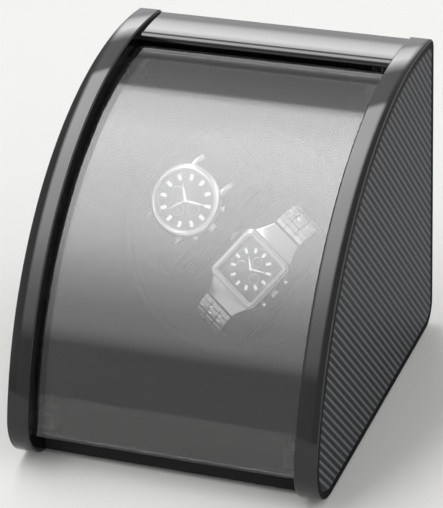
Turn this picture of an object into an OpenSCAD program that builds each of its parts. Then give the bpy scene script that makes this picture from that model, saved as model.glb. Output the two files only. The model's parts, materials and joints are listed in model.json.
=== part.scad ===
// Watch winder box for two watches: a curved smoked door between two lacquered cheeks,
// with a geared turntable on a tilted deck behind it. Millimetres, front towards -Y, +Z up,
// origin on the table under the middle of the box.

/* [Case] */
// Overall width across the cheeks
case_w = 180; // [172:1:200]
// Height of a cheek from its bottom edge to the crest of the curve
case_h = 188; // [186:1:200]
// Radius of the cheeks' curved front
arc_r = 200; // [196:1:206]
// Distance from the crest to the back edge of the cheeks
back_reach = 32; // [30:1:40]
// Thickness of a cheek
cheek_t = 13; // [12:0.5:16]
// Radius of the cheek's lower front corner
front_corner_r = 25; // [20:1:28]
// Radius of the cheek's lower back corner
back_corner_r = 15; // [8:1:20]
// Radius of the cheek's upper back corner
top_corner_r = 7; // [6.5:0.5:9]
// Thickness of the carbon inlay in a cheek
inlay_t = 1.2; // [0.8:0.1:2]
// Lacquered margin round the inlay
inlay_margin = 5; // [4:0.5:6]

/* [Rail, base and back] */
// Drop of the top rail below the crest
rail_drop = 2.5; // [2:0.5:4]
// Thickness of the top rail
rail_t = 9; // [9:0.5:12]
// Radius of the rail's crown
crown_r = 175; // [150:5:200]
// Distance of the crown's crest behind the rail's front edge
crest_back = 16; // [14:0.5:20]
// Height of the rail's front lip
lip_h = 3.6; // [3:0.2:4.5]
// Overhang of the lip in front of the rail's body
lip_reach = 4; // [3:0.5:6]
// Dark gap between the door's upper edge and the rail's lip
rail_gap = 3; // [2:0.2:5]
// Thickness of the base board
base_t = 10; // [10:0.5:14]
// Height of the base board's underside above the cheeks' bottom edges
base_lift = 1; // [0.5:0.5:3]
// Set-back of the base board behind the front of the cheeks
base_setback = 21; // [18:1:28]
// Thickness of the front sill
sill_t = 8; // [6:1:10]
// Height of the front sill above the base board
sill_h = 22; // [16:1:24]
// Thickness of the back panel
panel_t = 6; // [5:0.5:8]
// Depth of the recess behind the back panel
panel_recess = 9; // [8.5:0.5:10]
// Height and depth of the batten under the rail
batten_s = 10; // [9:0.5:12]
// Radius of a dowel
dowel_r = 2.5; // [2:0.25:3]
// Length of a dowel
dowel_l = 18; // [14:1:18]
// Radius of a rubber foot
foot_r = 7; // [5:0.5:10]
// Clearance that a foot gives under the cheeks
foot_h = 2; // [1:0.5:4]
// Distance of a foot's centre from the base board's edges
foot_inset = 16; // [14:1:24]
// Width of a vent slot
vent_w = 3; // [2:0.5:4]
// Length of a vent slot
vent_l = 34; // [20:1:40]
// Distance between vent slots
vent_pitch = 8; // [6:0.5:10]

/* [Door] */
// Depth of the door's face below the cheeks' edges
door_recess = 8; // [7:0.5:9]
// Thickness of the smoked acrylic
door_t = 4; // [3:0.5:4.5]
// Gap on each side of the door
door_gap = 0.8; // [0.5:0.1:1.5]
// Height of the door's lower edge above the cheeks' bottom edges
door_foot = 18; // [16:0.5:22]
// Angle of the door's upper edge above the horizontal, seen from the curve's centre
door_high = 86.7; // [86:0.1:87.5]
// Angle of the door's pivot
pivot_angle = 82.5; // [82:0.1:83]
// Depth of the pivot below the door's inner face
pivot_depth = 5; // [4.5:0.1:5.5]
// Radius of a pivot pin
pivot_r = 2; // [1.5:0.1:2.2]
// Radius of a pivot block's boss
boss_r = 4.6; // [4:0.1:5]
// Width of a pivot block
block_w = 10; // [8:1:14]
// Radius of a pivot bush
bush_r = 4; // [3.5:0.1:5]
// Length of a pivot bush
bush_l = 8; // [6:0.5:9]
// Height of a catch above the door's lower edge
catch_rise = 7.5; // [6.5:0.5:12]
// Radius of a catch plate and its magnet
catch_r = 3.5; // [3:0.25:4]
// Thickness of a catch plate
catch_t = 1; // [0.6:0.1:1.5]
// Length of a stop block along the curve's radius
stop_l = 14; // [10:1:16]
// Depth of a magnet in its stop
magnet_l = 5; // [3:0.5:8]

/* [Deck and turntable] */
// Upward tilt of the turntable's axis
tilt = 30; // [28:1:32]
// Depth from the door's inner face to the watch dials
watch_room = 37.6; // [36:0.2:42]
// Angle of the dials' centre, seen from the curve's centre
dial_angle = 52; // [51:0.5:53]
// Turn of the turntable as it stands, clockwise from the front
rest_turn = 37; // [0:1:60]
// Thickness of the deck
deck_t = 8; // [6:0.5:10]
// Height of the deck above the axis, along its slope
deck_rise = 80; // [78:1:84]
// Width of a cleat behind the deck
cleat_s = 10; // [8:0.5:12]
// Thickness of the lining boards
liner_t = 1.5; // [1:0.1:2.5]
// Set-back of the side linings inside the door
liner_inset = 18; // [17:1:30]
// Gap between the deck and the turntable
disc_gap = 4; // [3.5:0.5:6]
// Radius of the turntable
disc_r = 66; // [66:0.5:68]
// Thickness of the turntable
disc_t = 6; // [4:0.5:8]
// Height of the turntable's rim
rim_h = 4; // [2:0.5:5]
// Thickness of the turntable's rim
rim_t = 3; // [2:0.5:3.5]
// Radius of the turntable's shaft
shaft_r = 4; // [3:0.5:5]
// Wall of a shaft bush
bush_wall = 4; // [2:0.5:5]
// Thickness of a shaft bush's flange
flange_t = 1.5; // [1:0.1:2]
// Thickness of the retaining clip
clip_t = 1; // [0.8:0.1:1.4]

/* [Drive] */
// Module of the gears
gear_m = 0.8; // [0.75:0.05:0.9]
// Teeth of the drive gear
gear_teeth = 48; // [44:2:52]
// Teeth of the motor pinion
pinion_teeth = 16; // [16:2:20]
// Backlash between the teeth
backlash = 0.2; // [0.15:0.05:0.3]
// Width of the drive gear's teeth
gear_w = 8; // [6:0.5:10]
// Length of a pillar
pillar_l = 26; // [25:0.5:30]
// Radius of a pillar
pillar_r = 4; // [3:0.5:5]
// Half the height between the pillars
pillar_y = 21; // [20:0.5:24]
// Distance of the pillars beyond the gear and motor axes
pillar_x = 18; // [17:0.5:22]
// Thickness of the drive plate
plate_t = 2; // [1.5:0.1:3]
// Radius of the gearbox
gearbox_r = 15; // [14:0.5:16]
// Length of the gearbox
gearbox_l = 14; // [12:0.5:16]
// Radius of the motor can
can_r = 12; // [9:0.5:13]
// Length of the motor can
can_l = 18; // [14:0.5:20]
// Radius of the motor shaft
motor_shaft_r = 2; // [1.5:0.1:2.5]

/* [Cushions and cradles] */
// Distance between the watch centres
watch_pitch = 55; // [53:0.5:58]
// Width of a cushion
cushion_w = 43.4; // [38:0.2:44]
// Length of a cushion
cushion_l = 80; // [72:1:82]
// Thickness of a cushion
cushion_t = 20; // [18:0.5:22]
// Length of a cradle
cradle_l = 60; // [50:1:64]
// Thickness of a cradle's floor
cradle_t = 2; // [1.5:0.1:3]
// Thickness of a cradle's side walls
cradle_wall = 1.6; // [1.2:0.1:2]
// Height of a cradle's side walls above its floor
cradle_h = 18; // [12:0.5:20]
// Width of a cradle's rails
cradle_rail = 8; // [6:0.5:9]
// Room for the strap under a cushion
strap_room = 6; // [5:0.5:8]

/* [Watches] */
// Radius of the round case
round_r = 20; // [18:0.5:20.5]
// Extra radius of the round bezel
bezel_lip = 1; // [0.5:0.1:1.2]
// Side of the square case
square_w = 35; // [32:0.5:36]
// Corner radius of the square case
square_corner = 4; // [2:0.5:6]
// Height of a case up to its bezel
watch_h = 8; // [7.5:0.25:9]
// Height of the dial above the case's back
dial_lift = 6.4; // [6:0.1:7]
// Height of a bezel above its case
bezel_h = 1.6; // [1.2:0.1:2]
// Width of the rim round a dial
bezel_w = 3; // [2:0.25:4]
// Thickness of a dial
dial_t = 0.6; // [0.4:0.1:1]
// Thickness of a crystal
crystal_t = 1.2; // [0.8:0.1:1.5]
// Width of a strap
strap_w = 20; // [16:0.5:22]
// Thickness of a strap
strap_t = 2.4; // [1.5:0.1:3]
// Pitch of the bracelet's links
link_pitch = 6; // [4:0.25:8]
// Gap between the bracelet's links
link_gap = 0.8; // [0.4:0.1:1.2]
// Radius of a crown
crown_btn_r = 2.6; // [2:0.1:3.2]
// Length of a crown
crown_btn_l = 3.2; // [2:0.1:4]

/* [Controls] */
// Height of the selectors and the inlet on the back panel
control_z = 42; // [38:1:50]
// Distance between the selectors
selector_pitch = 32; // [28:1:36]
// Distance of the selectors' middle from the left cheek
selector_inset = 45; // [43:1:49]
// Radius of a selector knob
knob_r = 9; // [7:0.5:11]
// Height of a selector knob
knob_h = 7; // [5:0.5:7.5]
// Radius of a selector shaft
knob_shaft_r = 3; // [2:0.25:3.5]
// Side of a selector's body
selector_s = 14; // [12:0.5:16]
// Depth of a selector's body
selector_l = 15; // [13:0.5:15]
// Width of the control board
board_w = 70; // [60:1:74]
// Height of the control board
board_h = 40; // [30:1:44]
// Thickness of the control board
board_t = 1.6; // [1:0.2:2]
// Distance of the switch and the inlet from the right cheek
inlet_inset = 25; // [21:0.5:25]
// Height of the switch above the inlet
switch_rise = 42; // [34:1:50]
// Width of the rocker
rocker_w = 9; // [7:0.5:11]
// Length of the rocker
rocker_l = 13; // [11:0.5:16]
// Tilt of the rocker to each side
rocker_tilt = 8; // [5:0.5:9]
// Radius of the power plug that the inlet takes
plug_r = 2.8; // [2.5:0.05:3]

/* [Fits] */
// Radial clearance of a running fit
run_gap = 0.05; // [0.03:0.01:0.08]
// Radial clearance of a pressed or glued fit
press_gap = 0.02; // [0.01:0.01:0.04]
// Clearance round boards that slide into place
board_gap = 0.3; // [0.2:0.05:0.5]
// Clearance round soft pieces and loosely seated trim
soft_gap = 0.3; // [0.2:0.05:0.5]
// Radius of a screw's shank
screw_r = 1.5; // [1.2:0.1:1.7]
// Radius of a screw's head
head_r = 3; // [2.6:0.1:3.2]
// Height of a screw's head
head_h = 1.6; // [1.2:0.1:2]
// Depth that a screw reaches into the piece it holds
bite = 9; // [6:0.5:9]

/* [Hidden] */
$fn = 96;

LEFT = -1;
RIGHT = 1;
FAR = 400;
EPS = 0.5;

// The case's curve and its corner centres, in the plane of a cheek
base_z = foot_h;
arc_z = base_z + case_h - arc_r;
front_c_z = base_z + front_corner_r;
front_c_reach = sqrt(pow(arc_r - front_corner_r, 2) - pow(front_c_z - arc_z, 2));
front_reach = front_c_reach + front_corner_r;
arc_y = (front_reach - back_reach) / 2;
front_y = arc_y - front_reach;
back_y = arc_y + back_reach;
front_c = [arc_y - front_c_reach, front_c_z];
back_c = [back_y - back_corner_r, base_z + back_corner_r];
top_c = [back_y - top_corner_r,
         arc_z + sqrt(pow(arc_r - top_corner_r, 2) - pow(back_reach - top_corner_r, 2))];
inner_w = case_w - 2 * cheek_t;

// Boards
base_bottom = base_z + base_lift;
base_top = base_bottom + base_t;
base_front = front_y + base_setback;
sill_back = base_front + sill_t;
sill_top = base_top + sill_h;
panel_out = back_y - panel_recess;
panel_in = panel_out - panel_t;
rail_top = arc_z + arc_r - rail_drop;
rail_bottom = rail_top - rail_t;
rail_ease = 1;

// Door
door_r = arc_r - door_recess;
door_in_r = door_r - door_t;
door_w = inner_w - 2 * door_gap;
rail_front = arc_y - door_r * cos(door_high) + rail_gap;
crown_y = rail_front + crest_back;
pivot = polar(door_in_r - pivot_depth, pivot_angle);
door_low = asin((base_z + door_foot - arc_z) / door_r);
catch_angle = asin((base_z + door_foot + catch_rise - arc_z) / door_in_r);
catch_out = door_in_r - soft_gap;
magnet_out = catch_out - catch_t - soft_gap;
stop_w = 2 * catch_r + 3;

// Deck and turntable: s counts outwards along the axis from the deck's front face
disc_top = disc_gap + disc_t;
cradle_top = disc_top + cradle_t;
cushion_low = cradle_top + strap_room + soft_gap;
cushion_mid = cushion_low + cushion_t / 2;
cushion_high = cushion_low + cushion_t;
watch_s = cushion_high + soft_gap;
dial_s = watch_s + dial_lift;
bezel_s = watch_s + watch_h;
dial_c = polar(door_in_r - watch_room, dial_angle);
deck_c = dial_c - dial_s * [-cos(tilt), sin(tilt)];
cushion_end = cushion_t / 2;
strap_in = cushion_end + soft_gap;
cleat_short = 10;
deck_screw_low = (base_top - deck_c[1]) / cos(tilt) + 24;
deck_screw_high = deck_rise - 2 * cleat_short;

// Drive
pressure = 20;
mesh_c = gear_m * (gear_teeth + pinion_teeth) / 2;
plate_s = -deck_t - pillar_l;
plate_low = plate_s - plate_t;
gear_s = plate_s + pillar_l / 2 - gear_w / 2;
gear_hub_r = shaft_r + 5;
shaft_low = plate_low - 6;
clip_groove = 0.8;
clip_s = plate_low - soft_gap - clip_t - flange_t;
gearbox_low = plate_low - gearbox_l;
motor_boss_r = motor_shaft_r + 2.9;
motor_screw_y = gearbox_r - 4;
pillar_spots = [for (x = [-pillar_x, mesh_c + pillar_x], y = [-pillar_y, pillar_y]) [x, y]];

// Angle of the round watch's pushers on either side of its crown
pusher_spread = 32;

// Controls
selector_x = inner_w / 2 - selector_inset;
inlet_x = inner_w / 2 - inlet_inset;
board_out = panel_in - selector_l;
board_in = board_out - board_t;
selector_spots = [-selector_x - selector_pitch / 2, -selector_x + selector_pitch / 2];
switch_z = control_z + switch_rise;
housing_wall = 1.5;
rocker_room = 0.5;
cavity_w = rocker_w + 2 * rocker_room;
cavity_l = rocker_l + 2 * rocker_room + 1;
housing_w = cavity_w + 2 * housing_wall;
housing_l = cavity_l + 2 * housing_wall;
housing_lip = 1.4;
rocker_in = 3;
rocker_out = 4;
rocker_y = panel_out + housing_lip - rocker_out;
rocker_pin_r = 1;
cavity_depth = rocker_in + rocker_l / 2 * sin(rocker_tilt) + rocker_room;

// Fastener places
screw_hole = screw_r + run_gap;
back_spots = [for (x = [-1, 0, 1], z = [base_bottom + base_t / 2, rail_bottom - batten_s / 2])
              [x * (inner_w / 2 - 2 * head_r - 5), z]];
deck_spots = [for (x = [-1, 1], y = [deck_screw_low, deck_screw_high]) [x * (inner_w / 2 - cleat_s / 2), y]];
cradle_spots = [for (x = [-1, 1], y = [-1, 1]) [x * watch_pitch / 2, y * (cradle_l / 2 - 2 * head_r)]];
dowel_spots = [[rail_front + 14, (rail_top + rail_bottom) / 2 - 1],
               [back_y - 10, (rail_top + rail_bottom) / 2 - 1],
               [base_front + 24, base_bottom + base_t / 2],
               [panel_in - 24, base_bottom + base_t / 2]];

lacquer = "#161618";
carbon = "#3a3b3e";
smoke = [0.32, 0.32, 0.34, 0.55];
suede = "#202022";
timber = "#8d7657";
steel = "#c4c6c9";
bronze = "#a9824f";
nylon = "#e6e2d6";
plastic = "#2a2a2c";

// A point of the case's curve plane, given by its radius and its angle above the horizontal
function polar(r, a) = [arc_y - r * cos(a), arc_z + r * sin(a)];

// Y of the deck's front face at a height
function deck_y_at(z) = deck_c[0] + (z - deck_c[1]) * tan(tilt);

// Involute in degrees, and the half angle of a tooth at a radius
function involute(a) = tan(a) * 180 / PI - a;
function tooth_half(n, r) =
    let (pitch_r = gear_m * n / 2,
         base_r = pitch_r * cos(pressure),
         a = r > base_r ? acos(base_r / r) : 0)
    (PI * gear_m / 2 - backlash / 2) / 2 / pitch_r * 180 / PI + involute(pressure) - involute(a);

// Extrudes a drawing of the YZ plane along X
module slab(x0, x1) {
    translate([x0, 0, 0]) rotate([90, 0, 90]) linear_extrude(x1 - x0) children();
}

// Draws a right-hand piece on either side
module sided(side) {
    if (side == RIGHT) children();
    else mirror([1, 0, 0]) children();
}

// A cylinder along X from one place to another
module rod_x(x0, x1, r, at) {
    translate([x0, at[0], at[1]]) rotate([0, 90, 0]) cylinder(h = x1 - x0, r = r);
}

// A cylinder along Y
module rod_y(y0, y1, r, at) {
    translate([at[0], y0, at[1]]) rotate([-90, 0, 0]) cylinder(h = y1 - y0, r = r);
}

// Puts a drawing on the tilted axis, with its z counted from the deck's front face
module on_axis(s = 0) {
    translate([0, deck_c[0], deck_c[1]]) rotate([90 - tilt, 0, 0]) translate([0, 0, s]) children();
}

// Puts a drawing on the turntable as it stands
module on_table(s = 0) {
    on_axis(s) rotate([0, 0, -rest_turn]) children();
}

// Puts a drawing at one of the two watches
module on_watch(side, s = 0) {
    on_table(s) translate([side * watch_pitch / 2, 0, 0]) children();
}

// A pan-head screw, its head above z = 0 and its shank below
module screw(length) {
    difference() {
        cylinder(h = head_h, r = head_r);
        for (a = [0, 90])
            rotate([0, 0, a]) translate([-head_r * 0.6, -0.35, head_h * 0.5])
                cube([head_r * 1.2, 0.7, head_h]);
    }
    translate([0, 0, -length]) cylinder(h = length + 0.1, r = screw_r);
}

// A block with round upright corners
module round_block(w, l, h, r) {
    translate([-w / 2 + r, -l / 2, 0]) cube([w - 2 * r, l, h]);
    translate([-w / 2, -l / 2 + r, 0]) cube([w, l - 2 * r, h]);
    for (x = [-1, 1], y = [-1, 1])
        translate([x * (w / 2 - r), y * (l / 2 - r), 0]) cylinder(h = h, r = r);
}

// A slot with round ends, as a drawing
module stadium(half, r) {
    square([2 * half, 2 * r], center = true);
    for (x = [-half, half]) translate([x, 0]) circle(r);
}

module arc_disc(r) {
    translate([arc_y, arc_z]) circle(r, $fn = 180);
}

// Outline of a cheek, drawn in by an inset
module cheek_outline(inset) {
    front_dir = (front_c - [arc_y, arc_z]) / norm(front_c - [arc_y, arc_z]);
    top_dir = (top_c - [arc_y, arc_z]) / norm(top_c - [arc_y, arc_z]);
    cut = 60;
    difference() {
        intersection() {
            arc_disc(arc_r - inset);
            translate([front_y, base_z + inset]) square([back_y - inset - front_y, case_h + EPS]);
        }
        polygon([front_c, front_c + cut * front_dir, front_c - [cut, cut], front_c - [0, cut]]);
        polygon([back_c, back_c - [0, cut], back_c + [cut, -cut], back_c + [cut, 0]]);
        polygon([top_c, top_c + [cut, 0], top_c + [cut, cut], top_c + cut * top_dir]);
    }
    translate(front_c) circle(front_corner_r - inset);
    translate(back_c) circle(back_corner_r - inset);
    translate(top_c) circle(top_corner_r - inset);
}

module cheek(side) {
    color(lacquer) sided(side) difference() {
        slab(inner_w / 2, case_w / 2) cheek_outline(0);
        slab(case_w / 2 - inlay_t, case_w / 2 + EPS) cheek_outline(inlay_margin);
        rod_x(inner_w / 2 - EPS, inner_w / 2 + bush_l, bush_r + press_gap, pivot);
        for (p = dowel_spots)
            rod_x(inner_w / 2 - EPS, inner_w / 2 + dowel_l / 2 + board_gap, dowel_r + press_gap, p);
    }
}
module left_cheek() { cheek(LEFT); }
module right_cheek() { cheek(RIGHT); }

module inlay(side) {
    color(carbon) sided(side)
        slab(case_w / 2 - inlay_t, case_w / 2) cheek_outline(inlay_margin + board_gap / 2);
}
module left_inlay() { inlay(LEFT); }
module right_inlay() { inlay(RIGHT); }

module top_rail() {
    color(lacquer) difference() {
        slab(-inner_w / 2, inner_w / 2) difference() {
            intersection() {
                translate([crown_y, rail_top - crown_r]) circle(crown_r, $fn = 180);
                translate([rail_front, rail_bottom]) square([back_y - rail_front, rail_t + EPS]);
                cheek_outline(rail_ease);
            }
            polygon([[rail_front - EPS, rail_bottom - EPS],
                     [rail_front + lip_reach + 1, rail_bottom - EPS],
                     [rail_front + lip_reach, rail_top - lip_h - 2],
                     [rail_front - EPS, rail_top - lip_h - 1]]);
        }
        for (side = [LEFT, RIGHT], i = [0, 1])
            sided(side) rod_x(inner_w / 2 - dowel_l / 2 - board_gap, inner_w / 2 + EPS,
                              dowel_r + press_gap, dowel_spots[i]);
    }
}

module base_board() {
    color(timber) difference() {
        translate([-inner_w / 2, base_front, base_bottom]) cube([inner_w, panel_in - base_front, base_t]);
        for (side = [LEFT, RIGHT], i = [2, 3])
            sided(side) rod_x(inner_w / 2 - dowel_l / 2 - board_gap, inner_w / 2 + EPS,
                              dowel_r + press_gap, dowel_spots[i]);
        for (p = back_spots)
            rod_y(panel_in - bite - EPS, panel_in + EPS, screw_hole, p);
    }
}

module case_dowels() {
    color(timber) for (side = [LEFT, RIGHT], p = dowel_spots)
        sided(side) rod_x((inner_w - dowel_l) / 2, (inner_w + dowel_l) / 2, dowel_r, p);
}

module front_sill() {
    sill_w = inner_w - 2 * (stop_w + board_gap);
    color(lacquer) translate([-sill_w / 2, base_front, base_top]) cube([sill_w, sill_t, sill_h]);
}

module back_panel() {
    vents = 9;
    vent_z = rail_bottom - batten_s - 2 * head_r - vent_l / 2;
    color(plastic) difference() {
        translate([-inner_w / 2 + board_gap, panel_in, base_bottom])
            cube([inner_w - 2 * board_gap, panel_t, rail_bottom - board_gap - base_bottom]);
        for (p = back_spots) rod_y(panel_in - EPS, panel_out + EPS, screw_hole, p);
        for (x = selector_spots) rod_y(panel_in - EPS, panel_out + EPS, knob_shaft_r + 1, [x, control_z]);
        rod_y(panel_in - EPS, panel_out + EPS, plug_r + 1.5 + run_gap, [inlet_x, control_z]);
        translate([inlet_x - housing_w / 2 - board_gap, panel_in - EPS, switch_z - housing_l / 2 - board_gap])
            cube([housing_w + 2 * board_gap, panel_t + 2 * EPS, housing_l + 2 * board_gap]);
        for (i = [0 : vents - 1])
            translate([(i - (vents - 1) / 2) * vent_pitch - vent_w / 2, panel_in - EPS, vent_z - vent_l / 2])
                cube([vent_w, panel_t + 2 * EPS, vent_l]);
    }
}

module back_screws() {
    color(steel) for (p = back_spots)
        translate([p[0], panel_out, p[1]]) rotate([-90, 0, 0]) screw(panel_t + bite - EPS);
}

module upper_batten() {
    color(timber) difference() {
        translate([-inner_w / 2, panel_in - batten_s, rail_bottom - batten_s])
            cube([inner_w, batten_s, batten_s]);
        for (p = back_spots) rod_y(panel_in - bite - EPS, panel_in + EPS, screw_hole, p);
    }
}

module rubber_feet() {
    color("#242424") for (x = [-inner_w / 2 + foot_inset, inner_w / 2 - foot_inset],
                          y = [base_front + foot_inset, panel_in - foot_inset])
        translate([x, y, 0]) cylinder(h = base_bottom, r = foot_r);
}

module liner_boards() {
    side_foot = base_top + board_gap;
    side_top = pivot[1];
    floor_w = inner_w - 2 * (liner_t + board_gap);
    color(suede) {
        translate([-floor_w / 2, sill_back + board_gap, base_top])
            cube([floor_w, deck_y_at(base_top) - sill_back - 2 * board_gap, liner_t]);
        for (side = [LEFT, RIGHT])
            sided(side) slab(inner_w / 2 - liner_t, inner_w / 2) intersection() {
                arc_disc(door_in_r - liner_inset);
                polygon([[sill_back + board_gap, side_foot],
                         [deck_y_at(side_foot) - 2 * board_gap, side_foot],
                         [deck_y_at(side_top) - 2 * board_gap, side_top],
                         [sill_back + board_gap, side_top]]);
            }
    }
}

// Keeps the part of a tilted board that stands above the base board
module above_base() {
    intersection() {
        children();
        translate([-FAR / 2, -FAR / 2, base_top]) cube(FAR);
    }
}

module deck() {
    color(suede) above_base() on_axis() difference() {
        translate([-inner_w / 2 + board_gap, -FAR / 2, -deck_t])
            cube([inner_w - 2 * board_gap, FAR / 2 + deck_rise, deck_t]);
        translate([0, 0, -deck_t - EPS]) cylinder(h = deck_t + 2 * EPS, r = shaft_r + bush_wall + press_gap);
        for (p = concat(pillar_spots, deck_spots))
            translate([p[0], p[1], -deck_t - EPS]) cylinder(h = deck_t + 2 * EPS, r = screw_hole);
    }
}

module deck_cleats() {
    color(timber) above_base() on_axis(-deck_t) difference() {
        for (side = [LEFT, RIGHT])
            sided(side) translate([inner_w / 2 - cleat_s, -FAR / 2, -cleat_s])
                cube([cleat_s, FAR / 2 + deck_rise - cleat_short, cleat_s]);
        for (p = deck_spots) translate([p[0], p[1], -cleat_s + EPS]) cylinder(h = cleat_s, r = screw_hole);
    }
}

module deck_screws() {
    color(steel) for (p = deck_spots) on_axis() translate(p) screw(deck_t + cleat_s - 2);
}

// Puts a drawing at a catch, with z along the curve's radius
module at_catch(r, side) {
    p = polar(r, catch_angle);
    sided(side) translate([inner_w / 2 - stop_w / 2, p[0], p[1]]) rotate([90 - catch_angle, 0, 0]) children();
}

module door_stops() {
    color(plastic) for (side = [LEFT, RIGHT])
        at_catch(magnet_out - stop_l, side) difference() {
            translate([-stop_w / 2, -stop_w / 2, 0]) cube([stop_w, stop_w, stop_l]);
            translate([0, 0, stop_l - magnet_l]) cylinder(h = magnet_l + EPS, r = catch_r - 1 + press_gap);
        }
}

module stop_magnets() {
    color(steel) for (side = [LEFT, RIGHT])
        at_catch(magnet_out - magnet_l, side) cylinder(h = magnet_l, r = catch_r - 1);
}

module pivot_bushes() {
    color(nylon) for (side = [LEFT, RIGHT])
        sided(side) difference() {
            rod_x(inner_w / 2, inner_w / 2 + bush_l, bush_r, pivot);
            rod_x(inner_w / 2 - EPS, inner_w / 2 + bush_l + EPS, pivot_r + run_gap, pivot);
        }
}

module door_panel() {
    mid_angle = (door_low + door_high) / 2;
    color(smoke) slab(-door_w / 2, door_w / 2) intersection() {
        difference() {
            arc_disc(door_r);
            arc_disc(door_in_r);
        }
        polygon([[arc_y, arc_z], polar(FAR, door_low), polar(FAR, mid_angle), polar(FAR, door_high)]);
    }
}

module pivot_blocks() {
    color(plastic) for (side = [LEFT, RIGHT])
        sided(side) difference() {
            slab(door_w / 2 - block_w, door_w / 2) intersection() {
                union() {
                    translate(pivot) circle(boss_r);
                    translate(pivot) rotate(90 - pivot_angle) translate([-boss_r, 0])
                        square([2 * boss_r, pivot_depth + 1]);
                }
                arc_disc(door_in_r - press_gap);
            }
            rod_x(door_w / 2 - block_w - EPS, door_w / 2 + EPS, pivot_r + press_gap, pivot);
        }
}

module pivot_pins() {
    color(steel) for (side = [LEFT, RIGHT])
        sided(side) rod_x(door_w / 2 - block_w, inner_w / 2 + bush_l - board_gap, pivot_r, pivot);
}

module catch_plates() {
    color(steel) for (side = [LEFT, RIGHT])
        at_catch(catch_out - catch_t, side) cylinder(h = catch_t, r = catch_r);
}

// A flanged bush on the axis, its flange outwards and its sleeve below s = 0
module shaft_bush(sleeve_l) {
    difference() {
        union() {
            translate([0, 0, -sleeve_l]) cylinder(h = sleeve_l + 0.1, r = shaft_r + bush_wall);
            cylinder(h = flange_t, r = shaft_r + bush_wall + 3);
        }
        translate([0, 0, -sleeve_l - EPS]) cylinder(h = sleeve_l + flange_t + 2 * EPS, r = shaft_r + run_gap);
    }
}

module front_bush() {
    color(bronze) on_axis() shaft_bush(deck_t + 2);
}

module rear_bush() {
    color(bronze) on_axis(plate_s) shaft_bush(plate_t + flange_t);
}

module drive_plate() {
    plate_w = mesh_c + 2 * pillar_x + 2 * pillar_r + 4;
    plate_l = 2 * pillar_y + 2 * pillar_r + 4;
    color(steel) on_axis(plate_low) difference() {
        translate([mesh_c / 2, 0, 0]) round_block(plate_w, plate_l, plate_t, pillar_r + 2);
        translate([0, 0, -EPS]) cylinder(h = plate_t + 2 * EPS, r = shaft_r + bush_wall + press_gap);
        translate([mesh_c, 0, -EPS]) cylinder(h = plate_t + 2 * EPS, r = motor_boss_r + run_gap);
        for (p = concat(pillar_spots, [for (y = [-1, 1]) [mesh_c, y * motor_screw_y]]))
            translate([p[0], p[1], -EPS]) cylinder(h = plate_t + 2 * EPS, r = screw_hole);
    }
}

module plate_pillars() {
    color(steel) on_axis(plate_s) for (p = pillar_spots) translate(p) difference() {
        cylinder(h = pillar_l, r = pillar_r);
        translate([0, 0, -EPS]) cylinder(h = bite + 2 * EPS, r = screw_hole);
        translate([0, 0, pillar_l - bite - EPS]) cylinder(h = bite + 2 * EPS, r = screw_hole);
    }
}

module drive_screws() {
    color(steel) {
        for (p = pillar_spots) on_axis() translate(p) screw(deck_t + bite);
        for (p = pillar_spots) on_axis(plate_low) translate(p) rotate([180, 0, 0]) screw(plate_t + bite);
        for (y = [-1, 1]) on_axis(plate_s) translate([mesh_c, y * motor_screw_y]) screw(plate_t + bite - 2);
    }
}

module motor_gearbox() {
    color(steel) on_axis(gearbox_low) translate([mesh_c, 0, 0]) difference() {
        union() {
            cylinder(h = gearbox_l, r = gearbox_r);
            cylinder(h = gearbox_l + plate_t, r = motor_boss_r);
        }
        translate([0, 0, 2]) cylinder(h = FAR, r = motor_shaft_r + run_gap);
        for (y = [-1, 1])
            translate([0, y * motor_screw_y, gearbox_l - bite]) cylinder(h = FAR, r = screw_hole);
    }
}

module motor_can() {
    cap = 1.2;
    color("#9a9ca0") on_axis(gearbox_low - can_l) translate([mesh_c, 0, 0]) {
        translate([0, 0, cap]) cylinder(h = can_l - cap, r = can_r);
        cylinder(h = cap, r1 = can_r - cap, r2 = can_r);
        for (y = [-1, 1]) translate([-1.2, y * can_r / 2 - 0.3, -3]) cube([2.4, 0.6, 3.5]);
    }
}

module turntable_disc() {
    hub_r = shaft_r + 6;
    color(plastic) on_table() difference() {
        union() {
            translate([0, 0, disc_gap]) cylinder(h = disc_t, r = disc_r);
            translate([0, 0, flange_t + soft_gap]) cylinder(h = disc_gap, r = hub_r);
            translate([0, 0, disc_gap]) difference() {
                cylinder(h = disc_t + rim_h, r = disc_r);
                translate([0, 0, disc_t - 0.1]) cylinder(h = rim_h + EPS, r = disc_r - rim_t);
            }
        }
        cylinder(h = FAR / 4, r = shaft_r + press_gap);
        for (p = cradle_spots) translate([p[0], p[1], disc_gap - EPS]) cylinder(h = FAR / 4, r = screw_hole);
    }
}

module turntable_shaft() {
    color(steel) on_table() difference() {
        translate([0, 0, shaft_low]) cylinder(h = disc_top - shaft_low, r = shaft_r);
        translate([0, 0, clip_s - press_gap]) difference() {
            cylinder(h = clip_t + 2 * press_gap, r = shaft_r + EPS);
            translate([0, 0, -EPS]) cylinder(h = clip_t + 2 * EPS, r = shaft_r - clip_groove);
        }
    }
}

module retaining_clip() {
    color(steel) on_table(clip_s) difference() {
        cylinder(h = clip_t, r = shaft_r + 2.5);
        translate([0, 0, -EPS]) cylinder(h = clip_t + 2 * EPS, r = shaft_r - clip_groove + press_gap);
        translate([-shaft_r * 0.6, 0, -EPS]) cube([shaft_r * 1.2, FAR / 4, clip_t + 2 * EPS]);
    }
}

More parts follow.
